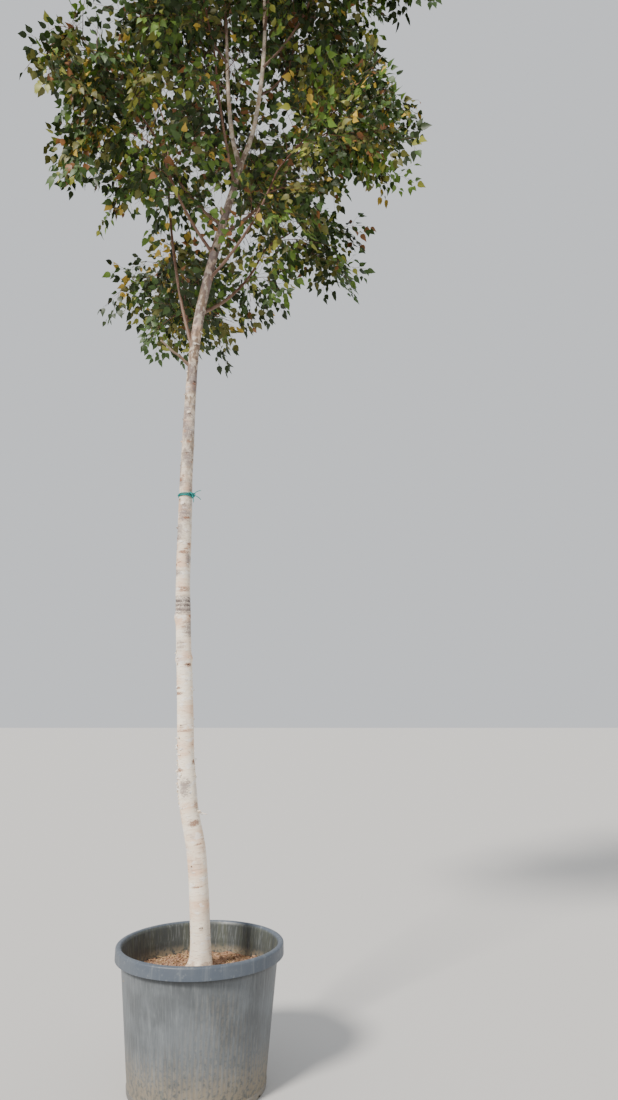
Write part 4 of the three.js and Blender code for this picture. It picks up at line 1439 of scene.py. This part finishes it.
def makeFlakes(finish):
    line, radiusAt = limbs["trunk"]
    draw, heap = seeded(606), Heap()
    step, row = np.arange(flakes["across"])[:, None], np.arange(flakes["tall"])
    u, v = step / (flakes["across"] - 1), row / (flakes["tall"] - 1) - 0.5
    for count, heights, azimuths, widths, curls in flakes["groups"]:
        for _ in range(count):
            share = line.shareAtHeight(draw(*heights))
            radius = float(radiusAt(share)) + 0.0006
            turn, hand = math.radians(draw(*azimuths)), 1 if draw() < 0.5 else -1
            width = draw(*widths)
            high, curl = draw(0.35, 0.9) * width, draw(*curls) * width
            angle = turn + hand * (u * width - 0.35 * curl * u**3) / radius
            ragged = 0.1 * np.sin(1.9 * step + 2.3 * row + 9 * turn)
            rise = (v + ragged) * high * (1 - 0.55 * u**2)
            sheets = []
            for layer in (0, flakes["thick"]):
                out = radius + layer + curl * u**2.2 * (1 + 0.25 * v)
                sheets.append(np.stack((out * np.cos(angle), out * np.sin(angle), rise), -1).reshape(-1, 3))
            heap.add(line.at(share) + np.vstack(sheets), flakeFaces(hand))
    flakePoints = heap.count
    for height, azimuth, rise, length, widths in stubs:
        share = line.shareAtHeight(height)
        reach = np.linspace(0, float(radiusAt(share)) + length, 9)[:, None]
        spine = line.at(share) + directionAt(azimuth, rise) * reach + up * draw(-0.5, 0.5) * reach**2
        swell = 1 + 0.12 * np.sin(np.arange(9) * 1.7 + height)
        heap.addTube(spine, np.linspace(*widths, 9) / 2 * swell, 9)
    points, faces = heap.shape()
    # flakes and stubs get the trunk's darker upper tone too, partly painted crown shade, and the flakes are
    # less white there
    upper = smooth(points[:, 2], trunkBark["upperFrom"], trunkBark["upperTo"])
    papery = (np.arange(len(points)) < flakePoints) * (1 - 0.75 * upper)
    values = {"barkPlace": points, "flake": papery, "upper": upper}
    makePiece("bark_flakes", points, faces, finish, "white_bark", values=values)


# the twine: turns of three twisted strands, the last one laid across the others, a knot and frayed ends
twine = {
    "height": 2.281,
    "width": 0.0035,
    "strand": 0.00122,
    "twist": 0.012,
    "turns": 4,
    "knotAzimuth": 330,
    "knot": 0.0125,
    "endLength": 0.036,
    # which side of the knot each end leaves by, and how steeply it drops
    "ends": [(1, 20), (-1, 62), (1, -42)],
    "fibres": 9,
    "ringStep": 0.0022,
    # how far a strand's middle lies from that of the twine, in strand radii
    "spread": 0.62,
}


def twistedStrands(heap, points):
    line = Line(points, 10)
    count = int(line.length / twine["ringStep"])
    shares = np.linspace(0, 1, count + 1)
    normals, binormals = framesAlong(line.headings(shares))
    radii = np.full(count + 1, twine["strand"])
    for strand in range(3):
        turn = (shares * line.length / twine["twist"] * 2 * math.pi + strand * 2 * math.pi / 3)[:, None]
        offset = normals * np.cos(turn) + binormals * np.sin(turn)
        heap.addTube(line.at(shares) + offset * twine["strand"] * twine["spread"], radii, 6)


def makeTwine(finish):
    line, radiusAt = limbs["trunk"]
    share = line.shareAtHeight(twine["height"])
    centre, axis = line.at(share), line.heading(share)
    width, turns, perTurn = twine["width"], twine["turns"], 30
    radius = float(radiusAt(share)) + width * 0.62
    heap, loops = Heap(), []
    for k in range((turns + 1) * perTurn + 1):
        done = k / perTurn
        turn = math.radians(twine["knotAzimuth"]) + done * 2 * math.pi
        across = max(done - turns, 0)
        out = radius + 0.0004 * math.sin(5 * turn) + width * 0.9 * smooth(across, 0, 0.12)
        rise = width * (min(done, turns) - turns / 2 - across * turns * 0.8 + 0.3 * math.sin(1.3 * turn))
        rise -= (axis[0] * math.cos(turn) + axis[1] * math.sin(turn)) / axis[2] * out
        loops.append(centre + np.array((math.cos(turn) * out, math.sin(turn) * out, rise)))
    twistedStrands(heap, loops)
    outward = directionAt(twine["knotAzimuth"], 0)
    side = np.array((-outward[1], outward[0], 0))
    size = twine["knot"]
    knot = centre + outward * (radius + 0.6 * size)
    turn = np.linspace(0, 5 * math.pi, 49)[:, None]
    hitch = side * 0.9 * np.cos(turn) + up * 0.8 * np.sin(0.8 * turn + 0.4)
    hitch += outward * 0.55 * np.cos(1.7 * turn)
    twistedStrands(heap, knot + hitch * size)
    for hand, drop in twine["ends"]:
        points, way = [knot + side * hand * 0.003], directionAt(twine["knotAzimuth"] + 14 * hand, 6 - drop)
        for k in range(6):
            points.append(points[-1] + way * twine["endLength"] / 6)
            way = unit(way - up * 0.12 + side * hand * 0.05)
        twistedStrands(heap, points)
        tip, draw = points[-1], seeded(700 + hand)
        for stray in scattered(draw, twine["fibres"], *[(-0.5, 0.5)] * 3):
            stray = unit(way + np.array(stray))
            fibre = np.array((tip - way * 0.004, tip + stray * 0.004, tip + stray * 0.006 - up * 0.002))
            heap.addTube(fibre, np.array((0.0004, 0.0003, 0.0002)), 4)
    heap.piece("twine_strands", finish, "twine", ["twine_tie"])


def makeTwineFinish():
    finish = Finish("twine", Specular_IOR_Level=0.4, Roughness=0.6)
    fibres = finish.noise(finish.place(), 900, 2)
    shades = finish.noise(finish.place(), 60, 2)
    paint = finish.layered(
        colour(0x0C6B6A),
        (shades.band(0.35, 0.65), colour(0x1B908B)),
        (fibres.band(0.45, 0.7, 0, 0.35), colour(0x62BDB3)),
    )
    return finish.paint(Base_Color=paint, Normal=finish.bump(fibres, 0.0003))


# floor and light
studio = {"floor": 0xC8C6C3, "floorHeight": -0.0004, "halfWidth": 60, "room": 0xEDF0F4,
          "roomStrength": 0.9, "sunStrength": 5.2, "sunAngle": 12, "sunColour": (1.0, 0.955, 0.89),
          "sunHeading": (0.45, 0.62, -0.64)}


def makeStudio():
    half = studio["halfWidth"]
    mesh = bpy.data.meshes.new("floor")
    corners = [(x * half, y * half, studio["floorHeight"]) for x, y in ((-1, -1), (1, -1), (1, 1), (-1, 1))]
    mesh.from_pydata(corners, [], [(0, 1, 2, 3)])
    finish = Finish("pale_floor", Base_Color=colour(studio["floor"]), Roughness=0.85)
    mesh.materials.append(finish.material)
    floor = addObject("floor", mesh)
    world = bpy.data.worlds.new("soft_room")
    world.use_nodes = True
    background = world.node_tree.nodes["Background"].inputs
    background["Color"].default_value = colour(studio["room"])
    background["Strength"].default_value = studio["roomStrength"]
    bpy.context.scene.world = world
    data = bpy.data.lights.new("soft_key", "SUN")
    data.energy, data.angle = studio["sunStrength"], math.radians(studio["sunAngle"])
    data.color = studio["sunColour"]
    heading = Vector(studio["sunHeading"]).to_track_quat("-Z", "Y")
    addObject("soft_key", data).rotation_euler = heading.to_euler()


makeCamera()
makeStudio()
print("camera and studio made")
whiteBarkFinish, youngBarkFinish = makeWhiteBark(), makeYoungBark()
makeTrunk(whiteBarkFinish)
makeLeaders(whiteBarkFinish)
makeBoughs(youngBarkFinish)
makeFlakes(whiteBarkFinish)
print("limbs made")
foliage = Foliage()
for index, own in enumerate(masses):
    growMass(foliage, own, index, youngBarkFinish)
growAlongLimbs(foliage, youngBarkFinish)
makeLeaves(foliage)
print("crown made")
makePot(makePotFinish())
makeSoil(makeSoilFinish("soil", 0), makeSoilFinish("soil_crumbs", 0.08), makeBitFinish())
makeTwine(makeTwineFinish())
print("pot, soil and twine made")
